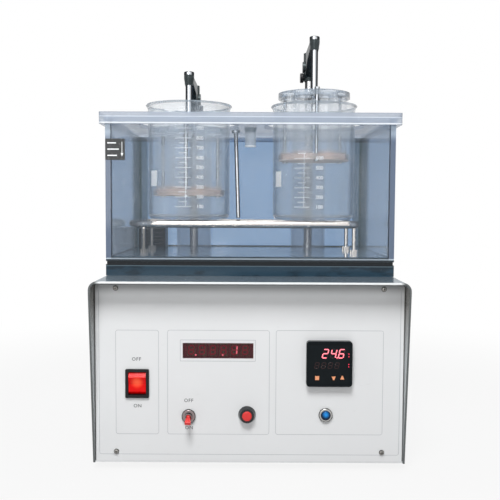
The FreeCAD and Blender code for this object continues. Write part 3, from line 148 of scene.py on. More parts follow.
class Finish:
    """One procedural material under construction."""

    def __init__(self, name):
        self.material = bpy.data.materials.new(name)
        self.material.use_nodes = True
        self.tree = self.material.node_tree
        self.tree.nodes.clear()
        self.place = self.add("ShaderNodeTexCoord", {}, {}, "Object")
        split = self.add("ShaderNodeSeparateXYZ", {}, {0: self.place}, "X").socket.node
        self.x, self.y, self.z = (Wire(self, split.outputs[i]) for i in range(3))

    def add(self, kind, settings, inputs, output=0):
        """Adds a node, sets it, feeds its inputs and returns one output."""
        node = self.tree.nodes.new(kind)
        for key, value in settings.items():
            setattr(node, key, value)
        for key, value in inputs.items():
            self.feed(node.inputs[key], value)
        return Wire(self, node.outputs[output])

    def feed(self, socket, value):
        if isinstance(value, Wire):
            self.tree.links.new(value.socket, socket)
        elif isinstance(value, tuple) and len(value) == 3 and socket.type == "RGBA":
            socket.default_value = (*value, 1.0)
        else:
            socket.default_value = value

    def number(self, value):
        wire = self.add("ShaderNodeValue", {}, {})
        wire.socket.default_value = value
        return wire

    def mix(self, amount, a, b):
        """Colour a to colour b."""
        return self.add("ShaderNodeMix", {"data_type": "RGBA"}, {0: amount, 6: a, 7: b}, 2)

    def stretch(self, sx, sy, sz):
        return self.add("ShaderNodeMapping", {}, {"Vector": self.place, "Scale": (sx, sy, sz)})

    def noise(self, scale, detail, rough=0.5, vector=None):
        """Noise with features about 1/scale metres across, 0 to 1."""
        inputs = {"Vector": vector or self.place, "Scale": scale, "Detail": detail,
                  "Roughness": rough}
        return self.add("ShaderNodeTexNoise", {}, inputs, "Fac")

    def bump(self, height, depth, strength):
        return self.add("ShaderNodeBump", {}, {"Height": height, "Distance": depth * MM,
                                               "Strength": strength})

    def upright(self):
        """1 on faces that stand upright, 0 on level ones."""
        normal = self.add("ShaderNodeNewGeometry", {}, {}, "Normal")
        rise = self.add("ShaderNodeSeparateXYZ", {}, {0: normal}, "Z")
        return 1 - rise.abs().soft_step(0.3, 0.7)

    def glance(self):
        """0 where the surface is seen square on, 1 where it is seen edge on."""
        return self.add("ShaderNodeLayerWeight", {}, {"Blend": 0.5}, "Facing")

    def surface(self, colour, rough, **others):
        """The shader itself; keyword words become input names."""
        inputs = {"Base Color": colour, "Roughness": rough}
        inputs.update({key.replace("_", " ").title().replace("Ior", "IOR"): value
                       for key, value in others.items()})
        shader = self.add("ShaderNodeBsdfPrincipled", {}, inputs)
        self.add_output(shader)
        return self.material

    def add_output(self, shader):
        node = self.tree.nodes.new("ShaderNodeOutputMaterial")
        self.tree.links.new(shader.socket, node.inputs["Surface"])


def shade(colour, factor):
    return tuple(min(1.0, c * factor) for c in colour)


# ---------------- finishes

def satin_steel(name, colour, rough):
    """Ground stainless sheet of the cover: fine cross lines, faint smears and prints.

    Its trimmed front edge carries a painted highlight along the top and painted shade down
    the sides, its flanks get painted shade near the top, and its top face a painted
    reflection of the dark plinth."""
    f = Finish(name)
    lines = f.noise(1.0, 2, 0.6, f.stretch(40, 1600, 1600))
    smear = f.noise(18, 4, 0.6)
    prints = f.noise(32, 4).soft_step(0.58, 0.78)
    tone = f.mix(lines, shade(colour, 0.9), shade(colour, 1.06))
    tone = f.mix(prints * 0.25, tone, shade(colour, 0.8))
    below = (VISOR_LOW * MM - f.z).math("MAXIMUM", 0.0)
    edge = 1 - (f.y - cover_front * MM - below * VISOR_LEAN).past(COVER_EDGE_PAINT_DEPTH)
    flank = f.x.abs().past(COVER_FLANK_X)
    # painted shade: the flanks darken towards the top, under the visor
    tone = f.mix(flank * f.z.past(COVER_FLANK_SHADE_Z), tone, (0.20, 0.19, 0.17))
    # painted reflection of the dark plinth on the top face
    top = f.z.past(COVER_TOP_Z)
    tone = f.mix(top, tone, (0.17, 0.215, 0.255))
    # painted highlight along the top of the front edge, painted shade down its sides
    edge_highlight_and_shade = f.mix(f.x.abs().past(COVER_EDGE_HIGHLIGHT_X), (0.92, 0.95, 0.96), (0.13, 0.14, 0.14))
    tone = f.mix(edge, tone, edge_highlight_and_shade)
    return f.surface(tone, lines * 0.08 + smear * 0.12 + prints * 0.05 + rough,
                     metallic=(1 - edge * 0.8) * (1 - flank * 0.7) * (1 - top * 0.5),
                     specular_tint=(0.50, 0.54, 0.56),
                     normal=f.bump(lines, 0.01, 0.5))


def powder_coat(name, colour, rough, visored=False):
    """Sprayed enamel with orange peel, faint blotches and handling marks.

    A visored panel gets a painted shadow close under its visor and painted shade in
    the gaps at its side edges."""
    f = Finish(name)
    blotch = f.noise(9, 3)
    scuff = f.noise(60, 5, 0.7, f.stretch(1, 1, 3)).soft_step(0.62, 0.74)
    tone = f.mix(blotch, shade(colour, 0.96), shade(colour, 1.02))
    tone = f.mix(scuff * 0.16, tone, shade(colour, 0.78))
    if visored:
        # painted shadow of the visor
        tone = f.mix(f.z.past(PANEL_VISOR_SHADOW_Z) * 0.9, tone, shade(colour, 0.3))
        # painted shade of the gap beside the cover
        tone = f.mix(f.x.abs().past(PANEL_GAP_SHADE_X), tone, (0.14, 0.14, 0.14))
    peel = f.noise(620, 2, 0.4)
    return f.surface(tone, scuff * 0.12 + (rough - 0.03) + blotch * 0.06,
                     normal=f.bump(peel, 0.05, 0.35))


def drawn_steel(name, colour, rough, along, grain=0.35, polished=False, painted_tank_shade=False):
    """Drawn or ground bar: fine lines along its length; a bar can get a painted
    reflection that darkens it towards its edges.

    A bar standing in the tank can get painted shade, dimmer low down where it stands in the tank."""
    f = Finish(name)
    squeeze = [1400.0, 1400.0, 1400.0]
    squeeze["xyz".index(along)] = 18.0
    lines = f.noise(1.0, 3, 0.6, f.stretch(*squeeze))
    smear = f.noise(45, 3)
    tone = f.mix(lines, shade(colour, 1 - 0.4 * grain), shade(colour, 1 + 0.2 * grain))
    edge_tint = (1.0, 1.0, 1.0)
    if polished:
        # painted reflection: darker towards the edges as the bar turns from view
        tone = f.mix(f.glance().soft_step(0.02, 0.20), tone, shade(colour, 0.06))
        edge_tint = (0.30, 0.33, 0.36)
    if painted_tank_shade:
        # painted shade low down, inside the tank
        tone = f.mix(1 - f.z.past(COLUMN_SHADE_Z), tone, shade(colour, 0.42))
    return f.surface(tone, lines * 0.12 * grain + smear * 0.1 + rough, metallic=1.0,
                     specular_tint=edge_tint, normal=f.bump(lines, 0.012, 0.5))


def plated(name, colour):
    """Bright plated bar of the rack with water spots and cast feet; above the feet a
    painted reflection darkens its edges.

    The legs by the heater get painted shade."""
    f = Finish(name)
    spots = f.noise(220, 4, 0.6).soft_step(0.56, 0.72)
    haze = f.noise(35, 3)
    tone = f.mix(spots * 0.45, colour, shade(colour, 0.72))
    round_bar = f.z.past(RACK_FOOT_Z)
    # painted reflection: edges darker as the bar turns from view, above the feet
    tone = f.mix(f.glance().soft_step(0.12, 0.60) * round_bar, tone, shade(colour, 0.15))
    # painted shade on the legs by the heater
    painted_leg_shade = (1 - f.x.past(RACK_LEG_SHADE_X)) * (1 - f.z.past(RACK_LEG_Z))
    tone = f.mix(painted_leg_shade * 0.75, tone, (0.045, 0.050, 0.050))
    return f.surface(tone, spots * 0.2 + haze * 0.1 + 0.1, metallic=1.0,
                     normal=f.bump(haze, 0.03, 0.4))


def moulded(name, colour, rough, grain_mm=0.6, depth=0.03, **others):
    """Moulded plastic or rubber with a fine spark texture."""
    f = Finish(name)
    grain = f.noise(1000 / grain_mm, 2)
    patch = f.noise(70, 3)
    tone = f.mix(patch, shade(colour, 0.82), shade(colour, 1.18))
    return f.surface(tone, patch * 0.12 + (rough - 0.05), normal=f.bump(grain, depth, 0.5),
                     **others)


def dark_sheet(name, colour, bands=()):
    """Polished dark acrylic with wiping marks and dust.

    bands lists (centre mm, half mm, colour): bands of another colour across the sheet at those
    heights."""
    f = Finish(name)
    wipe = f.noise(40, 4, 0.6, f.stretch(1, 3, 6))
    blotch = f.noise(26, 3, 0.6, f.stretch(1, 1, 3)).soft_step(0.50, 0.66)
    dust = f.noise(900, 2).soft_step(0.66, 0.76)
    tone = f.mix(wipe, shade(colour, 0.8), shade(colour, 1.3))
    tone = f.mix(blotch * 0.7, tone, shade(colour, 0.3))
    for centre, half, layer in bands:
        tone = f.mix(f.z.band(centre, half, 0.5), tone, layer)
    tone = f.mix(dust * 0.12, tone, (0.30, 0.36, 0.42))
    return f.surface(tone, wipe * 0.08 + 0.06 + dust * 0.1, specular_ior_level=0.3)


def clear_sheet(name, tint, haze, glare=0.5, bands=(), rim=None, **others):
    """Clear sheet or glass: nearly clear face on, stronger at a glance.

    haze is how much of it shows face on, and glare how much more shows edge on.
    rim is the deep colour of edges seen along the sheet; below the lid the very edge
    gets a pale painted highlight.

    bands lists (axis letter, centre mm, half mm, soft mm, colour, opacity). A band
    on x stands on both sides of the middle, and one on z marks upright faces only."""
    f = Finish(name)
    streak = f.noise(14, 4, 0.6, f.stretch(1, 1, 2.2))
    hairline = f.noise(1.0, 2, 0.5, f.stretch(260, 260, 30)).soft_step(0.66, 0.72)
    tone = f.mix(streak, shade(tint, 0.9), shade(tint, 1.1))
    glance = f.glance()
    if rim:
        above = f.z.past((lid_top, lid_top + 1))
        tone = f.mix(glance.soft_step(0.45, 0.68), tone, rim)
        # painted highlight: a pale line at the very edge, below the lid
        tone = f.mix(glance.soft_step(0.78, 0.86) * (1 - above), tone, (0.82, 0.88, 0.94))
    cover = streak * 0.10 * haze + hairline * 0.05 + haze + glance ** 4 * glare
    for axis, centre, half, soft, colour, opacity in bands:
        value = {"x": f.x.abs(), "y": f.y, "z": f.z}[axis]
        mask = value.band(centre, half, soft)
        if axis == "z":
            mask = mask * f.upright()
        tone = f.mix(mask, tone, colour)
        cover = cover + mask * (opacity - haze)
    return f.surface(tone, streak * 0.06 + 0.05, alpha=cover.clamp(), ior=1.49, **others)


def ink(name, colour, rough=0.55):
    """Screen-printed ink, thin in places."""
    f = Finish(name)
    worn = f.noise(420, 3).soft_step(0.55, 0.8)
    return f.surface(f.mix(worn, colour, tuple(0.7 * c + 0.12 for c in colour)),
                     worn * 0.15 + rough)


def lit(name, colour, glow, strength):
    """A lit digit bar or lamp dot, its glow slightly uneven."""
    f = Finish(name)
    grain = f.noise(500, 1)
    return f.surface(f.mix(grain, shade(colour, 0.9), colour), grain * 0.1 + 0.3,
                     emission_color=f.mix(grain, shade(glow, 0.85), glow),
                     emission_strength=strength)


def lit_moulding(name, node, lift, reach, outer, inner, glow_outer, glow_inner, strength):
    """Translucent moulding with a lamp behind its middle, lift millimetres up from it.

    reach is how far the light spreads; the colours run from the rim to the lamp."""
    f = Finish(name)
    centre = middle(node)
    dx = (f.x - centre.x * MM) / (reach * MM)
    dz = (f.z - (centre.z + lift) * MM) / (reach * MM)
    near = 1 - (dx * dx + dz * dz).math("SQRT").soft_step(0.0, 1.0)
    grain = f.noise(500, 2)
    return f.surface(f.mix(near, outer, inner), grain * 0.1 + 0.14,
                     normal=f.bump(grain, 0.02, 0.3),
                     emission_color=f.mix(near, glow_outer, glow_inner),
                     emission_strength=strength, specular_ior_level=0.15)


def screw_steel(name):
    """Plated screw head, with painted shade in its recess and round its seat."""
    f = Finish(name)
    low = node_box("panel_screws")[0].y
    depth = (f.y - low * MM) / ((panel_face - low) * MM)
    stain = f.noise(900, 3)
    tone = f.mix(stain, (0.14, 0.135, 0.125), (0.38, 0.37, 0.35))
    # painted shade in the cross recess and round the seat
    deep = depth.soft_step(0.30, 0.50)
    tone = f.mix(deep, tone, (0.016, 0.015, 0.014))
    return f.surface(tone, stain * 0.2 + 0.15, metallic=1 - deep * 0.8)


def cast_dark(name, colour, metal, rough):
    """Dark anodised or blued machine part."""
    f = Finish(name)
    mill = f.noise(1.0, 3, 0.5, f.stretch(900, 60, 900))
    patch = f.noise(50, 4)
    tone = f.mix(patch, shade(colour, 0.7), shade(colour, 1.4))
    return f.surface(tone, mill * 0.15 + patch * 0.1 + rough, metallic=metal,
                     normal=f.bump(mill, 0.02, 0.5))


def circuit_board(name):
    """Solder mask with paler traces."""
    f = Finish(name)
    run = f.noise(1.0, 1, 0.4, f.stretch(900, 900, 90)).soft_step(0.5, 0.53)
    return f.surface(f.mix(run, (0.02, 0.10, 0.045), (0.05, 0.22, 0.09)), run * 0.1 + 0.35)


finishes = {
    "cover": satin_steel("cover_steel", (0.56, 0.59, 0.60), 0.13),
    "panel": powder_coat("panel_enamel", (0.78, 0.79, 0.80), 0.5, visored=True),
    "zinc": powder_coat("zinc_sheet", (0.50, 0.51, 0.52), 0.35),
    "base": powder_coat("base_enamel", (0.72, 0.73, 0.74), 0.4),
    "column": drawn_steel("column_steel", (0.74, 0.75, 0.77), 0.12, "z", polished=True),
    "lift_column": drawn_steel("lift_column_steel", (0.74, 0.75, 0.77), 0.12, "z",
                               polished=True, painted_tank_shade=True),
    "rod": drawn_steel("rod_steel", (0.66, 0.69, 0.73), 0.2, "z", polished=True),
    "collar": drawn_steel("turned_collar", (0.46, 0.46, 0.45), 0.2, "y", polished=True),
    # its dark, reddish tone is a painted reflection of dark surroundings and the red lever
    "dark_collar": drawn_steel("turned_bush", (0.30, 0.25, 0.25), 0.18, "y", polished=True),
    "bar_steel": drawn_steel("machined_steel", (0.50, 0.50, 0.51), 0.25, "x"),
    "bright": plated("plated_bar", (0.72, 0.68, 0.64)),
    "bronze": drawn_steel("bush_bronze", (0.58, 0.38, 0.16), 0.3, "z"),
    "wire": drawn_steel("woven_wire", (0.72, 0.60, 0.55), 0.3, "x", 0.2),
    "alloy": powder_coat("alloy_case", (0.62, 0.63, 0.64), 0.32),
    "screw": screw_steel("plated_screw"),
    "anodised": cast_dark("anodised_arm", (0.030, 0.040, 0.042), 0.55, 0.24),
    "motor": cast_dark("blued_motor", (0.06, 0.065, 0.07), 0.6, 0.35),
    "rubber": moulded("foot_rubber", (0.022, 0.022, 0.024), 0.75, 0.9, 0.08),
    "black": moulded("black_moulding", (0.010, 0.011, 0.012), 0.38, specular_ior_level=0.2),
    "gloss_black": moulded("gloss_black_moulding", (0.007, 0.010, 0.012), 0.22, 0.8, 0.01,
                           specular_ior_level=0.08),
    "button_ring": moulded("button_ring", (0.008, 0.010, 0.012), 0.12, 0.8, 0.01,
                           specular_ior_level=0.45),
    "red_cap": moulded("red_moulding", (0.72, 0.030, 0.028), 0.34, 0.5, 0.02),
    "orange_key": moulded("orange_key", (0.88, 0.36, 0.18), 0.45, 0.4, 0.02),
    "plinth": dark_sheet("plinth_acrylic", (0.018, 0.046, 0.072), bands=(
        (216.0, 2.6, (0.006, 0.010, 0.014)),
        (213.45, 0.15, (0.10, 0.15, 0.18)))),
    "tank_bottom": dark_sheet("tank_bottom_acrylic", (0.085, 0.125, 0.165)),
    "board": circuit_board("timer_circuit"),
    "rocker": lit_moulding("lit_red_rocker", "mains_rocker", 1.5, 8.0, (0.66, 0.002, 0.003),
                           (0.95, 0.06, 0.03), (0.50, 0.0, 0.0), (1.0, 0.26, 0.09), 0.28),
    # On the blue lens the lighter patch just above its middle is a painted highlight, over its
    # lamp's faint glow.
    "lamp": lit_moulding("blue_lens", "heater_lamp_lens", 1.4, 4.6, (0.002, 0.016, 0.05),
                         (0.02, 0.26, 0.72), (0.0, 0.01, 0.04), (0.03, 0.32, 0.9), 0.12),
    "ink": ink("dark_ink", (0.06, 0.065, 0.07)),
    "line": ink("engraved_line", (0.46, 0.48, 0.50)),
    "white_ink": ink("white_ink", (0.94, 0.96, 0.98), 0.6),
    "label": ink("black_label", (0.012, 0.014, 0.016), 0.4),
    "segment_on": lit("lit_segment", (0.9, 0.05, 0.08), (1.0, 0.03, 0.09), 2.2),
    "segment_hot": lit("hot_segment", (1.0, 0.25, 0.28), (1.0, 0.16, 0.22), 1.4),
    "segment_off": ink("dark_segment", (0.34, 0.004, 0.016), 0.4),
    "segment_faint": ink("faint_segment", (0.012, 0.001, 0.002), 0.9),
}
finishes["front_sheet"] = clear_sheet(
    "front_acrylic", (0.62, 0.70, 0.80), 0.04, bands=(
        ("x", 157, 3.4, 0.6, (0.155, 0.205, 0.30), 0.82),
        ("z", 368.0, 6.0, 12.0, (0.40, 0.49, 0.60), 0.20),
        ("z", 219.6, 1.0, 0.3, (0.010, 0.022, 0.032), 0.9),
        ("z", 221.4, 0.5, 0.4, (0.50, 0.58, 0.66), 0.7)))
finishes["rear_sheet"] = clear_sheet(
    "rear_acrylic", (0.214, 0.339, 0.531), 0.90, transmission_weight=0.9,
    specular_ior_level=0.2, bands=(
        ("x", 148, 4.0, 3.0, (0.070, 0.118, 0.175), 0.93),
        ("x", 154.3, 2.6, 0.6, (0.016, 0.042, 0.050), 0.98),
        ("z", 375.6, 1.2, 0.5, (0.80, 0.86, 0.92), 0.9),
        ("z", 222.0, 2.4, 1.0, (0.02, 0.035, 0.045), 0.95)))
finishes["side_sheet"] = clear_sheet(
    "side_acrylic", (0.27, 0.35, 0.46), 0.80, transmission_weight=0.85,
    specular_ior_level=0.2, bands=(
        # a painted dark band towards the back, standing in for the dark refracted through the
        # tank's ends
        ("y", 84, 12, 70.0, (0.035, 0.060, 0.070), 0.85),
        ("z", 375.4, 1.4, 0.5, (0.78, 0.85, 0.92), 0.9),
        ("z", 221.0, 2.6, 1.0, (0.02, 0.03, 0.04), 0.9)))
finishes["lid_sheet"] = clear_sheet(
    "lid_acrylic", (0.56, 0.62, 0.72), 0.17, 0.45, specular_ior_level=0.12, bands=(
        ("z", lid_top - 8.0, 3.6, 0.4, (0.49, 0.56, 0.67), 0.46),
        ("z", lid_top - 2.1, 2.1, 0.3, (0.42, 0.47, 0.56), 0.72),
        ("z", lid_top - 0.2, 0.3, 0.2, (0.30, 0.35, 0.42), 0.7),
        ("z", lid_top - 4.9, 0.3, 0.3, (0.62, 0.69, 0.78), 0.6),
        ("z", 369.7, 0.4, 0.4, (0.86, 0.90, 0.95), 0.95)))
finishes["glass"] = clear_sheet("beaker_glass", (0.82, 0.89, 0.95), 0.15, 0.9,
                                rim=(0.10, 0.15, 0.19), transmission_weight=0.5, bands=(
        ("z", (beaker_rim + lid_top) / 2, (beaker_rim - lid_top) / 2, 0.6,
         (0.62, 0.71, 0.80), 0.24),
        ("z", beaker_rim - 1.1, 1.0, 0.6, (0.13, 0.18, 0.22), 0.85),
        # painted highlight: a pale band just above the foot, on the thick glass base
        ("z", beaker_foot + 4.4, 1.2, 0.9, (0.90, 0.89, 0.87), 0.55)))
# The low plate's warm tint is a painted reflection of the wire cloth under it.
for plate, tint in (("top", (0.54, 0.62, 0.71)), ("low", (0.92, 0.74, 0.66))):
    finishes["turned_" + plate] = clear_sheet("turned_acrylic_" + plate, tint, 0.44, 0.9,
                                              rim=(0.16, 0.21, 0.26), transmission_weight=0.3)
for side in SIDES:
    seat_z = node_box("basket_%s_bottom_plate" % side)[1].z
    finishes["tube_" + side] = clear_sheet(
        "tube_glass_" + side, (0.92, 0.96, 1.0), 0.08, 0.45, rim=(0.30, 0.38, 0.45),
        # the warm band at the foot is a painted reflection of the wire cloth below
        transmission_weight=0.7, bands=(("z", seat_z + 1.5, 1.5, 2.5, (0.90, 0.72, 0.64), 0.4),))
finishes["guard"] = clear_sheet("guard_tube_acrylic", (0.55, 0.62, 0.74), 0.16)
sleeve_z = node_box("sensor_sleeve")[0].z
finishes["sleeve"] = clear_sheet("sleeve_plastic", (0.66, 0.73, 0.80), 0.34, 0.9, bands=(
    # a painted highlight along the bottom edge
    ("z", sleeve_z + 0.5, 0.5, 0.4, (0.95, 0.97, 1.0), 0.9),
    ("z", sleeve_z + 21, 2.5, 2.0, (0.14, 0.17, 0.19), 0.75)))
finishes["timer_pane"] = clear_sheet("red_window", (0.085, 0.001, 0.008), 0.52)


# ---------------- mesh helpers

def new_object(name, data):
    """Puts a mesh, text, lamp or camera in the scene."""
    obj = bpy.data.objects.new(name, data)
    bpy.context.scene.collection.objects.link(obj)
    return obj


def add_piece(name, mesh, finish, body, smooth=False):
    """Puts a finished mesh in the scene, riding on a body."""
    if finish is not None:
        mesh.materials.clear()
        mesh.materials.append(finishes[finish])
    for face in mesh.polygons:
        face.use_smooth = smooth
    obj = new_object(name, mesh)
    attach(obj, body)
    return obj


def written(name, work):
    """A new mesh from a bmesh, which is freed."""
    mesh = bpy.data.meshes.new(name)
    work.to_mesh(mesh)
    work.free()
    return mesh


def mesh_from(name, verts, faces):
    """A closed mesh from millimetre corners, its faces turned outwards."""
    work = bmesh.new()
    points = [work.verts.new(Vector(v) * MM) for v in verts]
    for face in faces:
        work.faces.new([points[i] for i in face])
    bmesh.ops.remove_doubles(work, verts=work.verts, dist=1e-7)
    bmesh.ops.recalc_face_normals(work, faces=work.faces)
    return written(name, work)


def prisms(name, outlines, y_near, y_far):
    """One mesh of flat outlines in X and Z, each thickened along Y."""
    verts, faces = [], []
    for outline in outlines:
        near, count = len(verts), len(outline)
        far = near + count
        verts += [(x, y, z) for y in (y_near, y_far) for x, z in outline]
        faces += [list(range(near, far)), list(range(far + count - 1, far - 1, -1))]
        for i in range(count):
            k = (i + 1) % count
            faces.append([near + i, far + i, far + k, near + k])
    return mesh_from(name, verts, faces)


def flat_piece(name, outlines, y_near, y_far, finish):
    """Thickened outlines as one piece, fixed to the base."""
    add_piece(name, prisms(name, outlines, y_near, y_far), finish, "base")


def rectangle(x0, x1, z0, z1):
    return [(x0, z0), (x1, z0), (x1, z1), (x0, z1)]


def disc(cx, cz, radius, count):
    turn = 2 * math.pi / count
    return [(cx + radius * math.cos(i * turn), cz + radius * math.sin(i * turn))
            for i in range(count)]


def rounded(x0, x1, z0, z1, radius, steps=5):
    """Corner points of a rounded rectangle."""
    points = []
    for cx, cz, start in ((x1 - radius, z1 - radius, 0), (x0 + radius, z1 - radius, 90),
                          (x0 + radius, z0 + radius, 180), (x1 - radius, z0 + radius, 270)):
        for i in range(steps + 1):
            angle = math.radians(start + 90 * i / steps)
            points.append((cx + radius * math.cos(angle), cz + radius * math.sin(angle)))
    return points


def frame_line(name, x0, x1, z0, z1, width, radius, y_near, y_far):
    """A closed thin line round a rounded rectangle."""
    outer = rounded(x0, x1, z0, z1, radius)
    inner = rounded(x0 + width, x1 - width, z0 + width, z1 - width, max(0.2, radius - width))
    count = len(outer)
    verts = []
    for ring in (outer, inner):
        verts += [(x, y, z) for y in (y_near, y_far) for x, z in ring]
    faces = []
    for i in range(count):
        k = (i + 1) % count
        faces += [[i, k, 2 * count + k, 2 * count + i],
                  [count + i, 3 * count + i, 3 * count + k, count + k],
                  [i, count + i, count + k, k],
                  [2 * count + i, 2 * count + k, 3 * count + k, 3 * count + i]]
    return mesh_from(name, verts, faces)


def baked(obj):
    """The plain mesh of an object with its modifiers, and the object removed."""
    bpy.context.view_layer.update()
    graph = bpy.context.evaluated_depsgraph_get()
    mesh = bpy.data.meshes.new_from_object(obj.evaluated_get(graph))
    bpy.data.objects.remove(obj)
    return mesh


CAPITAL = 0.70      # height of a capital letter over the size of the type


def lettering(name, words, height, thick, bold, spacing=1.0):
    """Text as a flat mesh in X and Y, centred, thickened along Z."""
    curve = bpy.data.curves.new(name, "FONT")
    curve.body = words
    curve.size = height * MM / CAPITAL
    curve.space_character = spacing
    curve.align_x = "CENTER"
    curve.align_y = "CENTER"
    curve.extrude = thick / 2 * MM
    curve.resolution_u = 3
    curve.offset = bold * MM
    return baked(new_object(name, curve))


def shift(mesh, x, y, z=0.0):
    mesh.transform(Matrix.Translation(Vector((x, y, z)) * MM))


def stand_up(mesh, x, y, z):
    """Turns a flat X-Y mesh to face the front, and puts it in place."""
    mesh.transform(Matrix.Translation(Vector((x, y, z)) * MM)
                   @ Matrix.Rotation(math.radians(90), 4, "X"))
    return mesh


def wrap(mesh, centre_x, centre_y, radius, rise, turn=-90.0):
    """Bends a flat X-Y mesh (Z its thickness) round an upright cylinder.

    Its middle faces turn degrees round from +X, and its Y 0 goes to height rise."""
    for vertex in mesh.vertices:
        x, y, z = vertex.co / MM
        angle = math.radians(turn) + x / radius
        reach = radius + z
        vertex.co = Vector((centre_x + reach * math.cos(angle),
                            centre_y + reach * math.sin(angle), rise + y)) * MM
    return mesh


def merged(name, meshes):
    """Several meshes joined into one."""
    work = bmesh.new()
    for mesh in meshes:
        work.from_mesh(mesh)
    return written(name, work)


# ---------------- geometry node trees

class Grower:
    """A Geometry Nodes tree under construction, with named inputs."""

    def __init__(self, name, inputs):
        self.tree = bpy.data.node_groups.new(name, "GeometryNodeTree")
        face = self.tree.interface
        face.new_socket("Geometry", in_out="INPUT", socket_type="NodeSocketGeometry")
        for label, (kind, value) in inputs.items():
            socket = face.new_socket(label, in_out="INPUT", socket_type="NodeSocket" + kind)
            if value is not None:
                socket.default_value = value
        face.new_socket("Geometry", in_out="OUTPUT", socket_type="NodeSocketGeometry")
        self.start = self.tree.nodes.new("NodeGroupInput")

    def given(self, label):
        return self.start.outputs[label]

    def add(self, kind, settings, inputs, output=0):
        node = self.tree.nodes.new(kind)
        for key, value in settings.items():
            setattr(node, key, value)
        for key, value in inputs.items():
            if isinstance(value, bpy.types.NodeSocket):
                self.tree.links.new(value, node.inputs[key])
            else:
                node.inputs[key].default_value = value
        return node.outputs[output]

    def math(self, operation, a, b=0.0):
        return self.add("ShaderNodeMath", {"operation": operation}, {0: a, 1: b})

    def end(self, geometry, material):
        """Realize, set the material, and close the tree."""
        real = self.add("GeometryNodeRealizeInstances", {}, {0: geometry})
        painted = self.add("GeometryNodeSetMaterial", {}, {0: real, "Material": material})
        out = self.tree.nodes.new("NodeGroupOutput")
        self.tree.links.new(painted, out.inputs[0])
        return self.tree

    def join(self, *parts):
        node = self.tree.nodes.new("GeometryNodeJoinGeometry")
        for part in parts:
            self.tree.links.new(part, node.inputs[0])
        return node.outputs[0]


def grow(tree, name, values, base=None):
    """Runs a tree on a base mesh and returns the plain mesh."""
    obj = new_object(name, base or bpy.data.meshes.new(name + "_seed"))
    modifier = obj.modifiers.new("grow", "NODES")
    modifier.node_group = tree
    keys = {item.name: item.identifier for item in tree.interface.items_tree
            if item.item_type == "SOCKET" and item.in_out == "INPUT"}
    for label, value in values.items():
        modifier[keys[label]] = value
    return baked(obj)


def weave_tree():
    """Round wire cloth: two crossing sets of waved wires cut to a disc."""
    g = Grower("wire_cloth", {"Disc Radius": ("Float", 0.0425), "Pitch": ("Float", 0.002),
                              "Wire Radius": ("Float", 0.00026), "Wave": ("Float", 0.00014),
                              "Count": ("Int", 42)})
    radius, pitch = g.given("Disc Radius"), g.given("Pitch")
    back = g.math("MULTIPLY", radius, -1.0)
    start = g.add("ShaderNodeCombineXYZ", {}, {0: back})
    stop = g.add("ShaderNodeCombineXYZ", {}, {0: radius})
    line = g.add("GeometryNodeCurvePrimitiveLine", {}, {"Start": start, "End": stop})
    line = g.add("GeometryNodeResampleCurve", {"mode": "LENGTH"},
                 {"Curve": line, "Length": g.math("DIVIDE", pitch, 2.0)})
    first = g.math("MULTIPLY", g.math("MULTIPLY", g.given("Count"), pitch), -0.5)
    rows = g.add("GeometryNodeMeshLine", {}, {
        "Count": g.given("Count"), "Start Location": g.add("ShaderNodeCombineXYZ", {}, {1: first}),
        "Offset": g.add("ShaderNodeCombineXYZ", {}, {1: pitch})})
    wires = g.add("GeometryNodeInstanceOnPoints", {}, {"Points": rows, "Instance": line})
    wires = g.add("GeometryNodeRealizeInstances", {}, {0: wires})
    place = g.add("GeometryNodeInputPosition", {}, {})
    x, y, _ = g.add("ShaderNodeSeparateXYZ", {}, {0: place}).node.outputs
    reach = g.math("SQRT", g.math("ADD", g.math("MULTIPLY", x, x), g.math("MULTIPLY", y, y)))
    wires = g.add("GeometryNodeDeleteGeometry", {"domain": "POINT"},
                  {0: wires, "Selection": g.add("FunctionNodeCompare", {}, {0: reach, 1: radius})})

    def ripple(value):
        return g.math("COSINE", g.math("MULTIPLY", g.math("DIVIDE", value, pitch), math.pi))

    lift = g.math("MULTIPLY", g.math("MULTIPLY", ripple(x), ripple(y)), g.given("Wave"))
    wires = g.add("GeometryNodeSetPosition", {}, {
        0: wires, "Offset": g.add("ShaderNodeCombineXYZ", {}, {2: lift})})
    section = g.add("GeometryNodeCurvePrimitiveCircle", {}, {"Resolution": 5,
                                                             "Radius": g.given("Wire Radius")})
    tubes = g.add("GeometryNodeCurveToMesh", {}, {0: wires, "Profile Curve": section,
                                                 "Fill Caps": True})
    across = g.add("GeometryNodeTransform", {}, {0: tubes, "Rotation": (math.pi, 0, math.pi / 2)})
    return g.end(g.join(tubes, across), finishes["wire"])


def repeat_tree():
    """One screw set on every point of a base mesh."""
    g = Grower("set_on_points", {"Shape": ("Object", None)})
    shape = g.add("GeometryNodeObjectInfo", {}, {"Object": g.given("Shape")}, "Geometry")
    placed = g.add("GeometryNodeInstanceOnPoints", {}, {
        "Points": g.given("Geometry"), "Instance": shape})
    return g.end(placed, finishes["screw"])


def ticks_tree():
    """A ladder of equal bars in X and Y, Step apart, their middles at X Left."""
    g = Grower("scale_ticks", {"Count": ("Int", 9), "Step": ("Float", 0.0114),
                               "Length": ("Float", 0.02), "Thick": ("Float", 0.0006),
                               "Depth": ("Float", 0.0001), "Left": ("Float", 0.0)})
    size = g.add("ShaderNodeCombineXYZ", {}, {0: g.given("Length"), 1: g.given("Thick"),
                                              2: g.given("Depth")})
    bar = g.add("GeometryNodeMeshCube", {}, {"Size": size, "Vertices X": 9}, "Mesh")
    aside = g.add("ShaderNodeCombineXYZ", {}, {0: g.given("Left")})
    bar = g.add("GeometryNodeTransform", {}, {0: bar, "Translation": aside})
    rows = g.add("GeometryNodeMeshLine", {}, {
        "Count": g.given("Count"),
        "Offset": g.add("ShaderNodeCombineXYZ", {}, {1: g.given("Step")})})
    placed = g.add("GeometryNodeInstanceOnPoints", {}, {"Points": rows, "Instance": bar})
    return g.end(placed, finishes["white_ink"])


# ---------------- dressing the CAD nodes

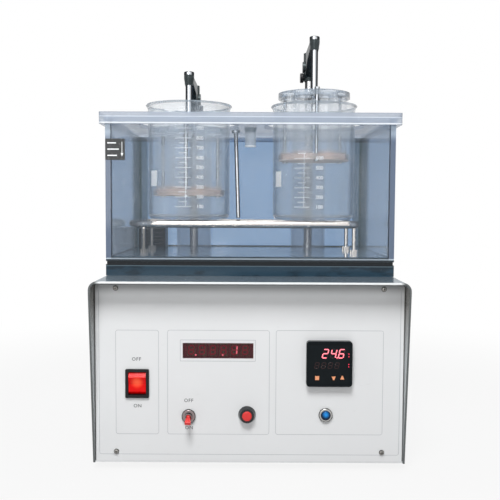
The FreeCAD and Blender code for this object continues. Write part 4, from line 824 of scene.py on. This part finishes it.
NODE_FINISH = {
    "cover": ["cabinet_cover"],
    "panel": ["front_panel", "rear_panel"],
    "zinc": ["drive_frame"],
    "base": ["base_plate"],
    "rubber": ["rubber_feet"],
    "plinth": ["tank_plinth"],
    "tank_bottom": ["tank_floor"],
    "front_sheet": ["tank_front_wall"],
    "rear_sheet": ["tank_rear_wall"],
    "side_sheet": ["tank_left_wall", "tank_right_wall"],
    "lid_sheet": ["tank_lid"],
    "guard": ["column_guard_tubes"],
    "sleeve": ["sensor_sleeve"],
    "bright": ["beaker_rack"],
    "black": ["immersion_heater", "mains_inlet", "mains_switch_body"],
    "gloss_black": ["temperature_controller"],
    "button_ring": ["push_button_body"],
    "bronze": ["column_bushes"],
    "motor": ["gear_motor"],
    "alloy": ["power_supply"],
    "board": ["timer_board"],
    "timer_pane": ["timer_window"],
    "column": ["temperature_probe"],
    "collar": ["heater_lamp_bezel"],
    "dark_collar": ["toggle_switch_body"],
    "lamp": ["heater_lamp_lens"],
    "rocker": ["mains_rocker"],
    "red_cap": ["toggle_lever", "push_button_cap"],
    "orange_key": ["controller_key_set", "controller_key_down", "controller_key_up"],
    "bar_steel": ["walking_beam", "connecting_rod", "drive_crank"],
}
STATION_FINISH = {
    "glass": ["beaker_%s"],
    "lift_column": ["lift_column_%s"],
    "anodised": ["arm_%s"],
    "black": ["arm_knob_%s"],
    "turned_top": ["basket_%s_top_plate"],
    "turned_low": ["basket_%s_bottom_plate"],
    "rod": ["basket_%s_tie_rods", "basket_%s_hanger_rod"],
}


def dress(name, finish):
    mesh = nodes[name].data
    mesh.materials.clear()
    mesh.materials.append(finishes[finish])


for finish, names in NODE_FINISH.items():
    for name in names:
        dress(name, finish)
for side in SIDES:
    dress("basket_%s_glass_tubes" % side, "tube_" + side)
    for finish, names in STATION_FINISH.items():
        for name in names:
            dress(name % side, finish)


# ---------------- panel printing

PRINT = 0.08        # thickness of what is printed on the panel
LINE = 0.45         # width of a border line
WORD = 3.6          # height of a printed word

# left, right, low, high and corner radius of each border
BORDERS = [(-158.6, 158.9, 16.4, 196.2, 2.5),       # whole panel
           (-141, -95.4, 38.2, 149.4, 2.5),         # mains switch
           (-86.4, 21.2, 38.2, 149.6, 2.5),         # timer and motor
           (27.8, 141, 38.2, 149.8, 2.5),           # temperature
           (-73.1, 6.5, 116.4, 139.3, 0.6)]         # timer window

# each word over or under the middle of its switch
SWITCH_WORDS = [("OFF", -119, 118.3), ("ON", -118, 68.4), ("OFF", -64, 74.4), ("ON", -63.6, 45.2)]


def panel_lines():
    """Thin engraved borders round the whole panel and each group of controls."""
    lines = [frame_line("line", x0, x1, z0, z1, LINE, radius, panel_face - PRINT, panel_face)
             for x0, x1, z0, z1, radius in BORDERS]
    add_piece("panel_border_lines", merged("panel_border_lines", lines), "line", "base")


def switch_words():
    """ON and OFF beside the two switches."""
    words = [stand_up(lettering("word", word, WORD, PRINT, 0.04, 1.15),
                      x, panel_face - PRINT / 2, z)
             for word, x, z in SWITCH_WORDS]
    add_piece("switch_position_words", merged("switch_position_words", words), "ink", "base")


def in_order(mesh):
    """Sorts a mesh's corners and faces by place; a cut leaves them in no fixed order."""
    corners = [tuple(vertex.co) for vertex in mesh.vertices]
    rank = sorted(range(len(corners)), key=corners.__getitem__)
    new_index = {old: new for new, old in enumerate(rank)}
    faces = []
    for face in mesh.polygons:
        ring = [new_index[i] for i in face.vertices]
        first = ring.index(min(ring))
        faces.append(ring[first:] + ring[:first])
    mesh.clear_geometry()
    mesh.from_pydata([corners[i] for i in rank], [], sorted(faces))
    return mesh


def screw_recess(radius, rise):
    """A pan head with a cross recess, its axis along -Y, its seat at Y 0."""
    work = bmesh.new()
    profile = [(0.0, -rise), (0.35 * radius, -rise), (0.72 * radius, -0.86 * rise),
               (0.93 * radius, -0.52 * rise), (radius, -0.15 * rise), (radius, 0.0), (0.0, 0.0)]
    points = [work.verts.new(Vector((x, y, 0)) * MM) for x, y in profile]
    edges = [work.edges.new((points[i], points[i + 1])) for i in range(len(points) - 1)]
    bmesh.ops.spin(work, geom=points + edges, axis=(0, 1, 0), cent=(0, 0, 0),
                   angle=2 * math.pi, steps=28)
    bmesh.ops.remove_doubles(work, verts=work.verts, dist=1e-6)
    bmesh.ops.recalc_face_normals(work, faces=work.faces)
    head = new_object("screw_head", written("screw_head", work))
    arm, half = 0.5 * radius, 0.11 * radius
    cross = [(-half, -arm), (half, -arm), (half, -half), (arm, -half), (arm, half), (half, half),
             (half, arm), (-half, arm), (-half, half), (-arm, half), (-arm, -half),
             (-half, -half)]
    tool = new_object("cross", prisms("cross", [cross], -rise - 1, -0.45 * rise))
    cutter = head.modifiers.new("recess", "BOOLEAN")
    cutter.object = tool
    cutter.operation = "DIFFERENCE"
    mesh = baked(head)
    bpy.data.objects.remove(tool)
    return in_order(mesh)


SCREW_RADIUS = 2.8


def panel_screws(tree):
    """Cross-head screws in the panel corners."""
    low, high = node_box("panel_screws")
    head = new_object("one_screw", screw_recess(SCREW_RADIUS, panel_face - low.y))
    spots = [Vector((x, panel_face, z)) * MM
             for x in (low.x + SCREW_RADIUS, high.x - SCREW_RADIUS)
             for z in (low.z + SCREW_RADIUS, high.z - SCREW_RADIUS)]
    base = bpy.data.meshes.new("screw_spots")
    base.from_pydata(spots, [], [])
    mesh = grow(tree, "screws", {"Shape": head}, base)
    bpy.data.objects.remove(head)
    piece = add_piece("panel_cross_screws", mesh, None, "base")
    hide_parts("panel_screws")


# ---------------- digits

# bars: a top, b upper right, c lower right, d bottom, e lower left, f upper left, g middle
BARS = "abcdefg"
LIT = {"1": "bc", "2": "abged", "4": "fgbc", "6": "afgedc", "8": BARS, " ": ""}


def segment(kind, wide, high, stroke):
    """One bar of a seven-bar digit, centred on the digit."""
    w, h, t = wide / 2, high / 2, stroke / 2
    gap = 0.12 * stroke
    if kind in "agd":
        z = {"a": h - t, "g": 0, "d": t - h}[kind]
        x0, x1 = -w + t + gap, w - t - gap
        return [(x0, z), (x0 + t, z - t), (x1 - t, z - t),
                (x1, z), (x1 - t, z + t), (x0 + t, z + t)]
    x = w - t if kind in "bc" else t - w
    z0, z1 = (gap, h - t - gap) if kind in "bf" else (t - h + gap, -gap)
    return [(x, z0), (x + t, z0 + t), (x + t, z1 - t), (x, z1), (x - t, z1 - t), (x - t, z0 + t)]


def digits(text, centres, z, wide, high, stroke, lean):
    """Outlines of the lit and the dark bars of a row of digits."""
    on, off = [], []
    slope = math.tan(math.radians(lean))
    for letter, x in zip(text, centres):
        for kind in BARS:
            bar = [(x + px + slope * pz, z + pz) for px, pz in segment(kind, wide, high, stroke)]
            (on if kind in LIT[letter] else off).append(bar)
    return on, off


# width, height, stroke and lean in degrees of each display's digits
TIMER_DIGIT = (6.8, 10.6, 1.5, 4)
READING_DIGIT = (6.1, 10.0, 1.05, 12)
SETTING_DIGIT = (5.0, 7.0, 1.0, 12)

TIMER_DEPTH = 4.6   # how far behind the panel's face the timer's digits end
TIMER_PITCH = 11.4
TIMER_POINTS = (-56.9, -28.4)
TIMER_POINT_Z = 122.3

# the controller's display, measured from its middle, and how deep its fascia is set
READING_X, READING_Z = (-4.2, 4.4, 12.6), 11.0
READING_POINT = (7.9, 6.6)
SETTING_X, SETTING_Z = (-13, -6, 1, 8), -1.6
DOTS_X, DOTS_Z = 20.3, (10.7, 7.9, -0.4, -2.8)
FASCIA_DEPTH = 1.0


def timer_digits():
    """Six red digits behind the window, one lit, with two points."""
    window = middle("timer_window")
    y_far = panel_face + TIMER_DEPTH
    centres = [window.x + (i - 2.5) * TIMER_PITCH for i in range(6)]
    on, off = digits("    1 ", centres, window.z, *TIMER_DIGIT)
    points = [disc(x, TIMER_POINT_Z, 0.95, 12) for x in TIMER_POINTS]
    flat_piece("timer_dark_bars", off, y_far - 0.2, y_far, "segment_off")
    flat_piece("timer_lit_bars", on + points, y_far - 0.25, y_far, "segment_hot")


def controller_face():
    """Display rows and lamps behind the controller's dark fascia."""
    x, _, z = middle("temperature_controller")
    fascia = node_box("temperature_controller")[0].y + FASCIA_DEPTH
    on, off = digits("246", [x + dx for dx in READING_X], z + READING_Z, *READING_DIGIT)
    row, _ = digits("8888", [x + dx for dx in SETTING_X], z + SETTING_Z, *SETTING_DIGIT)
    point = disc(x + READING_POINT[0], z + READING_POINT[1], 0.7, 12)
    dots = [disc(x + DOTS_X, z + dz, 0.42, 10) for dz in DOTS_Z]
    for name, outlines, thick, finish in (
            ("controller_lit_bars", on + [point], 0.12, "segment_hot"),
            ("controller_lamps", dots, 0.12, "segment_on"),
            ("controller_dark_bars", off + row, 0.1, "segment_faint")):
        flat_piece(name, outlines, fascia - thick, fascia, finish)


# ---------------- tank and beaker markings

LEVEL_PLATE = (-159, -137.4, 329.5, 352.7, 0.8)     # left, right, low, high, corner radius
LEVEL_BARS = [(9.5, 347.4), (12.5, 340.6), (10.5, 333.8)]       # length and low edge
LEVEL_BARS_X, LEVEL_BAR_HEIGHT = -156.6, 1.3
LEVEL_ARROW = [(-140.9, 349.2), (-140.3, 349.2), (-140.3, 337), (-139.2, 337),
               (-140.6, 333.2), (-142, 337), (-140.9, 337)]


def level_label():
    """Black fill-level plate on the tank's front wall: arrow and plain bars."""
    near = tank_face - 0.2
    flat_piece("level_plate", [rounded(*LEVEL_PLATE)], near, tank_face, "label")
    bars = [rectangle(LEVEL_BARS_X, LEVEL_BARS_X + length, z, z + LEVEL_BAR_HEIGHT)
            for length, z in LEVEL_BARS]
    flat_piece("level_marks", bars + [LEVEL_ARROW], near - 0.05, near, "white_ink")


# x of the scale line, the ticks' middle and the numbers, measured along the glass
# from the beaker's front, and how many hundreds are marked
SCALES = {"left": (0.0, -3.0, 17.0, 9), "right": (-15.2, -18.0, 3.0, 6)}
FIRST_MARK = 16.05  # height of the first hundred's mark above the beaker's foot
HUNDRED = 11.45     # from one hundred's mark to the next
ENAMEL = 0.08       # how far the middle of the white enamel stands off the glass
TICK_LENGTHS = {"long_ticks": 19, "short_ticks": 10}
NUMBER_HIGH = 4.2
PATCH_WIDE, PATCH_HIGH, PATCH_Z = 13, 18.5, 312.4
PATCH_TURN = {"left": -142.0, "right": -152.0}      # degrees round from +X


def beaker_scale(side, tree):
    """White graduations, numbers and a writing patch baked on the glass."""
    line_x, tick_x, word_x, count = SCALES[side]
    line_high = HUNDRED * (count - 0.5)
    longs, shorts = (grow(tree, name, {"Count": count, "Step": HUNDRED * MM,
                                       "Length": length * MM, "Left": tick_x * MM})
                     for name, length in TICK_LENGTHS.items())
    shift(shorts, 0, HUNDRED / 2)
    stem = grow(tree, "stem", {"Count": 1, "Length": 0.5 * MM, "Left": line_x * MM,
                               "Thick": line_high * MM})
    shift(stem, 0, line_high / 2)
    flat = [longs, shorts, stem]
    for i in range(count):
        number = lettering("number", str(100 * (i + 1)), NUMBER_HIGH, 0.1, 0.12)
        shift(number, word_x, i * HUNDRED)
        flat.append(number)
    for mesh in flat:
        shift(mesh, 0, FIRST_MARK)
    glass = (STATION_X[side], BEAKER_Y, BEAKER_RADIUS + ENAMEL)
    scale = merged("scale_" + side, [wrap(mesh, *glass, beaker_foot) for mesh in flat])
    add_piece("beaker_scale_" + side, scale, "white_ink", "beaker_" + side)
    patch = grow(tree, "patch", {"Count": 1, "Length": PATCH_WIDE * MM,
                                 "Thick": PATCH_HIGH * MM})
    patch = wrap(patch, *glass, PATCH_Z, PATCH_TURN[side])
    add_piece("beaker_patch_" + side, patch, "white_ink", "beaker_" + side)


def basket_mesh(side, tree):
    """Woven wire cloth under the bottom plate."""
    low, high = node_box("basket_%s_wire_mesh" % side)
    mesh = grow(tree, "cloth", {"Disc Radius": (high.x - low.x) / 2 * MM})
    shift(mesh, STATION_X[side], BEAKER_Y, (low.z + high.z) / 2)
    piece = add_piece("basket_%s_woven_cloth" % side, mesh, None, "basket_" + side,
                      smooth=True)
    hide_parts("basket_%s_wire_mesh" % side)


# ---------------- set

FLOOR = 30.0        # metres from the middle of the floor to its sides
DIM_SKY = 0.12      # strength of the white surround where it only lights the part
LAMPS = [           # name, place, side and power, in metres and watts
    ("key", (-0.15, -1.12, 1.62), 0.6, 29.5), ("fill", (1.5, -0.9, 0.9), 1.2, 1.2),
    ("front", (-0.45, -1.7, 0.6), 0.8, 5.5), ("top", (0.1, 0.35, 1.9), 1.4, 18.0)]
LAMP_TARGET = Vector((0, -0.05, 0.22))              # metres
CAMERA_PLACE = (0.0, -0.9223, 0.2804)               # metres
CAMERA_PITCH, CAMERA_ROLL = 0.061, 0.005            # radians
CAMERA_LENS = 52.43


def seen_ray(tree):
    """1 for a ray from the camera, off a mirror or through glass, or else 0."""
    path = tree.nodes.new("ShaderNodeLightPath")
    seen = path.outputs["Is Camera Ray"]
    for kind in ("Is Glossy Ray", "Is Transmission Ray"):
        most = tree.nodes.new("ShaderNodeMath")
        most.operation = "MAXIMUM"
        tree.links.new(seen, most.inputs[0])
        tree.links.new(path.outputs[kind], most.inputs[1])
        seen = most.outputs[0]
    return seen


def floor_finish():
    """Pale floor: shadow near the part, even white further out, in metres."""
    f = Finish("studio_floor")
    far = (f.x * f.x + f.y * f.y).math("SQRT").soft_step(0.34, 0.95)
    seen = Wire(f, seen_ray(f.tree))
    plain = f.add("ShaderNodeBsdfDiffuse", {}, {"Color": (0.42, 0.42, 0.42)})
    glow = f.add("ShaderNodeEmission", {}, {"Color": (1.0, 1.0, 1.0), "Strength": 1.0})
    both = f.add("ShaderNodeMixShader", {}, {0: seen * (far * 0.12 + 0.88), 1: plain, 2: glow})
    f.add_output(both)
    return f.material


def studio():
    """Floor, world, lamps and camera."""
    mesh = bpy.data.meshes.new("studio_floor")
    corners = [(x * FLOOR, y * FLOOR, 0) for x, y in ((-1, -1), (1, -1), (1, 1), (-1, 1))]
    mesh.from_pydata(corners, [], [(0, 1, 2, 3)])
    mesh.materials.append(floor_finish())
    floor = new_object("studio_floor", mesh)

    world = bpy.data.worlds.new("studio_world")
    bpy.context.scene.world = world
    world.use_nodes = True
    tree = world.node_tree
    tree.nodes.clear()
    level = tree.nodes.new("ShaderNodeMapRange")
    level.inputs["To Min"].default_value = DIM_SKY
    level.inputs["To Max"].default_value = 1.0
    tree.links.new(seen_ray(tree), level.inputs["Value"])
    sky = tree.nodes.new("ShaderNodeBackground")
    sky.inputs["Color"].default_value = (1.0, 1.0, 1.0, 1.0)
    tree.links.new(level.outputs["Result"], sky.inputs["Strength"])
    out = tree.nodes.new("ShaderNodeOutputWorld")
    tree.links.new(sky.outputs[0], out.inputs["Surface"])

    for name, place, side, power in LAMPS:
        lamp = bpy.data.lights.new(name, "AREA")
        lamp.size = side
        lamp.energy = power
        obj = new_object(name, lamp)
        obj.location = place
        aim = LAMP_TARGET - Vector(place)
        obj.rotation_euler = aim.to_track_quat("-Z", "Y").to_euler()

    lens = bpy.data.cameras.new("front_camera")
    lens.sensor_width = 36.0
    lens.lens = CAMERA_LENS
    lens.clip_start = 0.02
    camera = new_object("front_camera", lens)
    turn = (Matrix.Rotation(math.pi / 2 - CAMERA_PITCH, 4, "X")
            @ Matrix.Rotation(CAMERA_ROLL, 4, "Z"))
    camera.matrix_world = Matrix.Translation(CAMERA_PLACE) @ turn
    bpy.context.scene.camera = camera
    bpy.context.scene.view_settings.view_transform = "Standard"
    cycles = bpy.context.scene.cycles
    cycles.max_bounces = 28
    cycles.transmission_bounces = 28
    cycles.transparent_max_bounces = 32
    cycles.glossy_bounces = 8


# ---------------- build

cloth = weave_tree()
repeat = repeat_tree()
ticks = ticks_tree()
panel_lines()
switch_words()
panel_screws(repeat)
timer_digits()
controller_face()
level_label()
for side in SIDES:
    beaker_scale(side, ticks)
    basket_mesh(side, cloth)
studio()
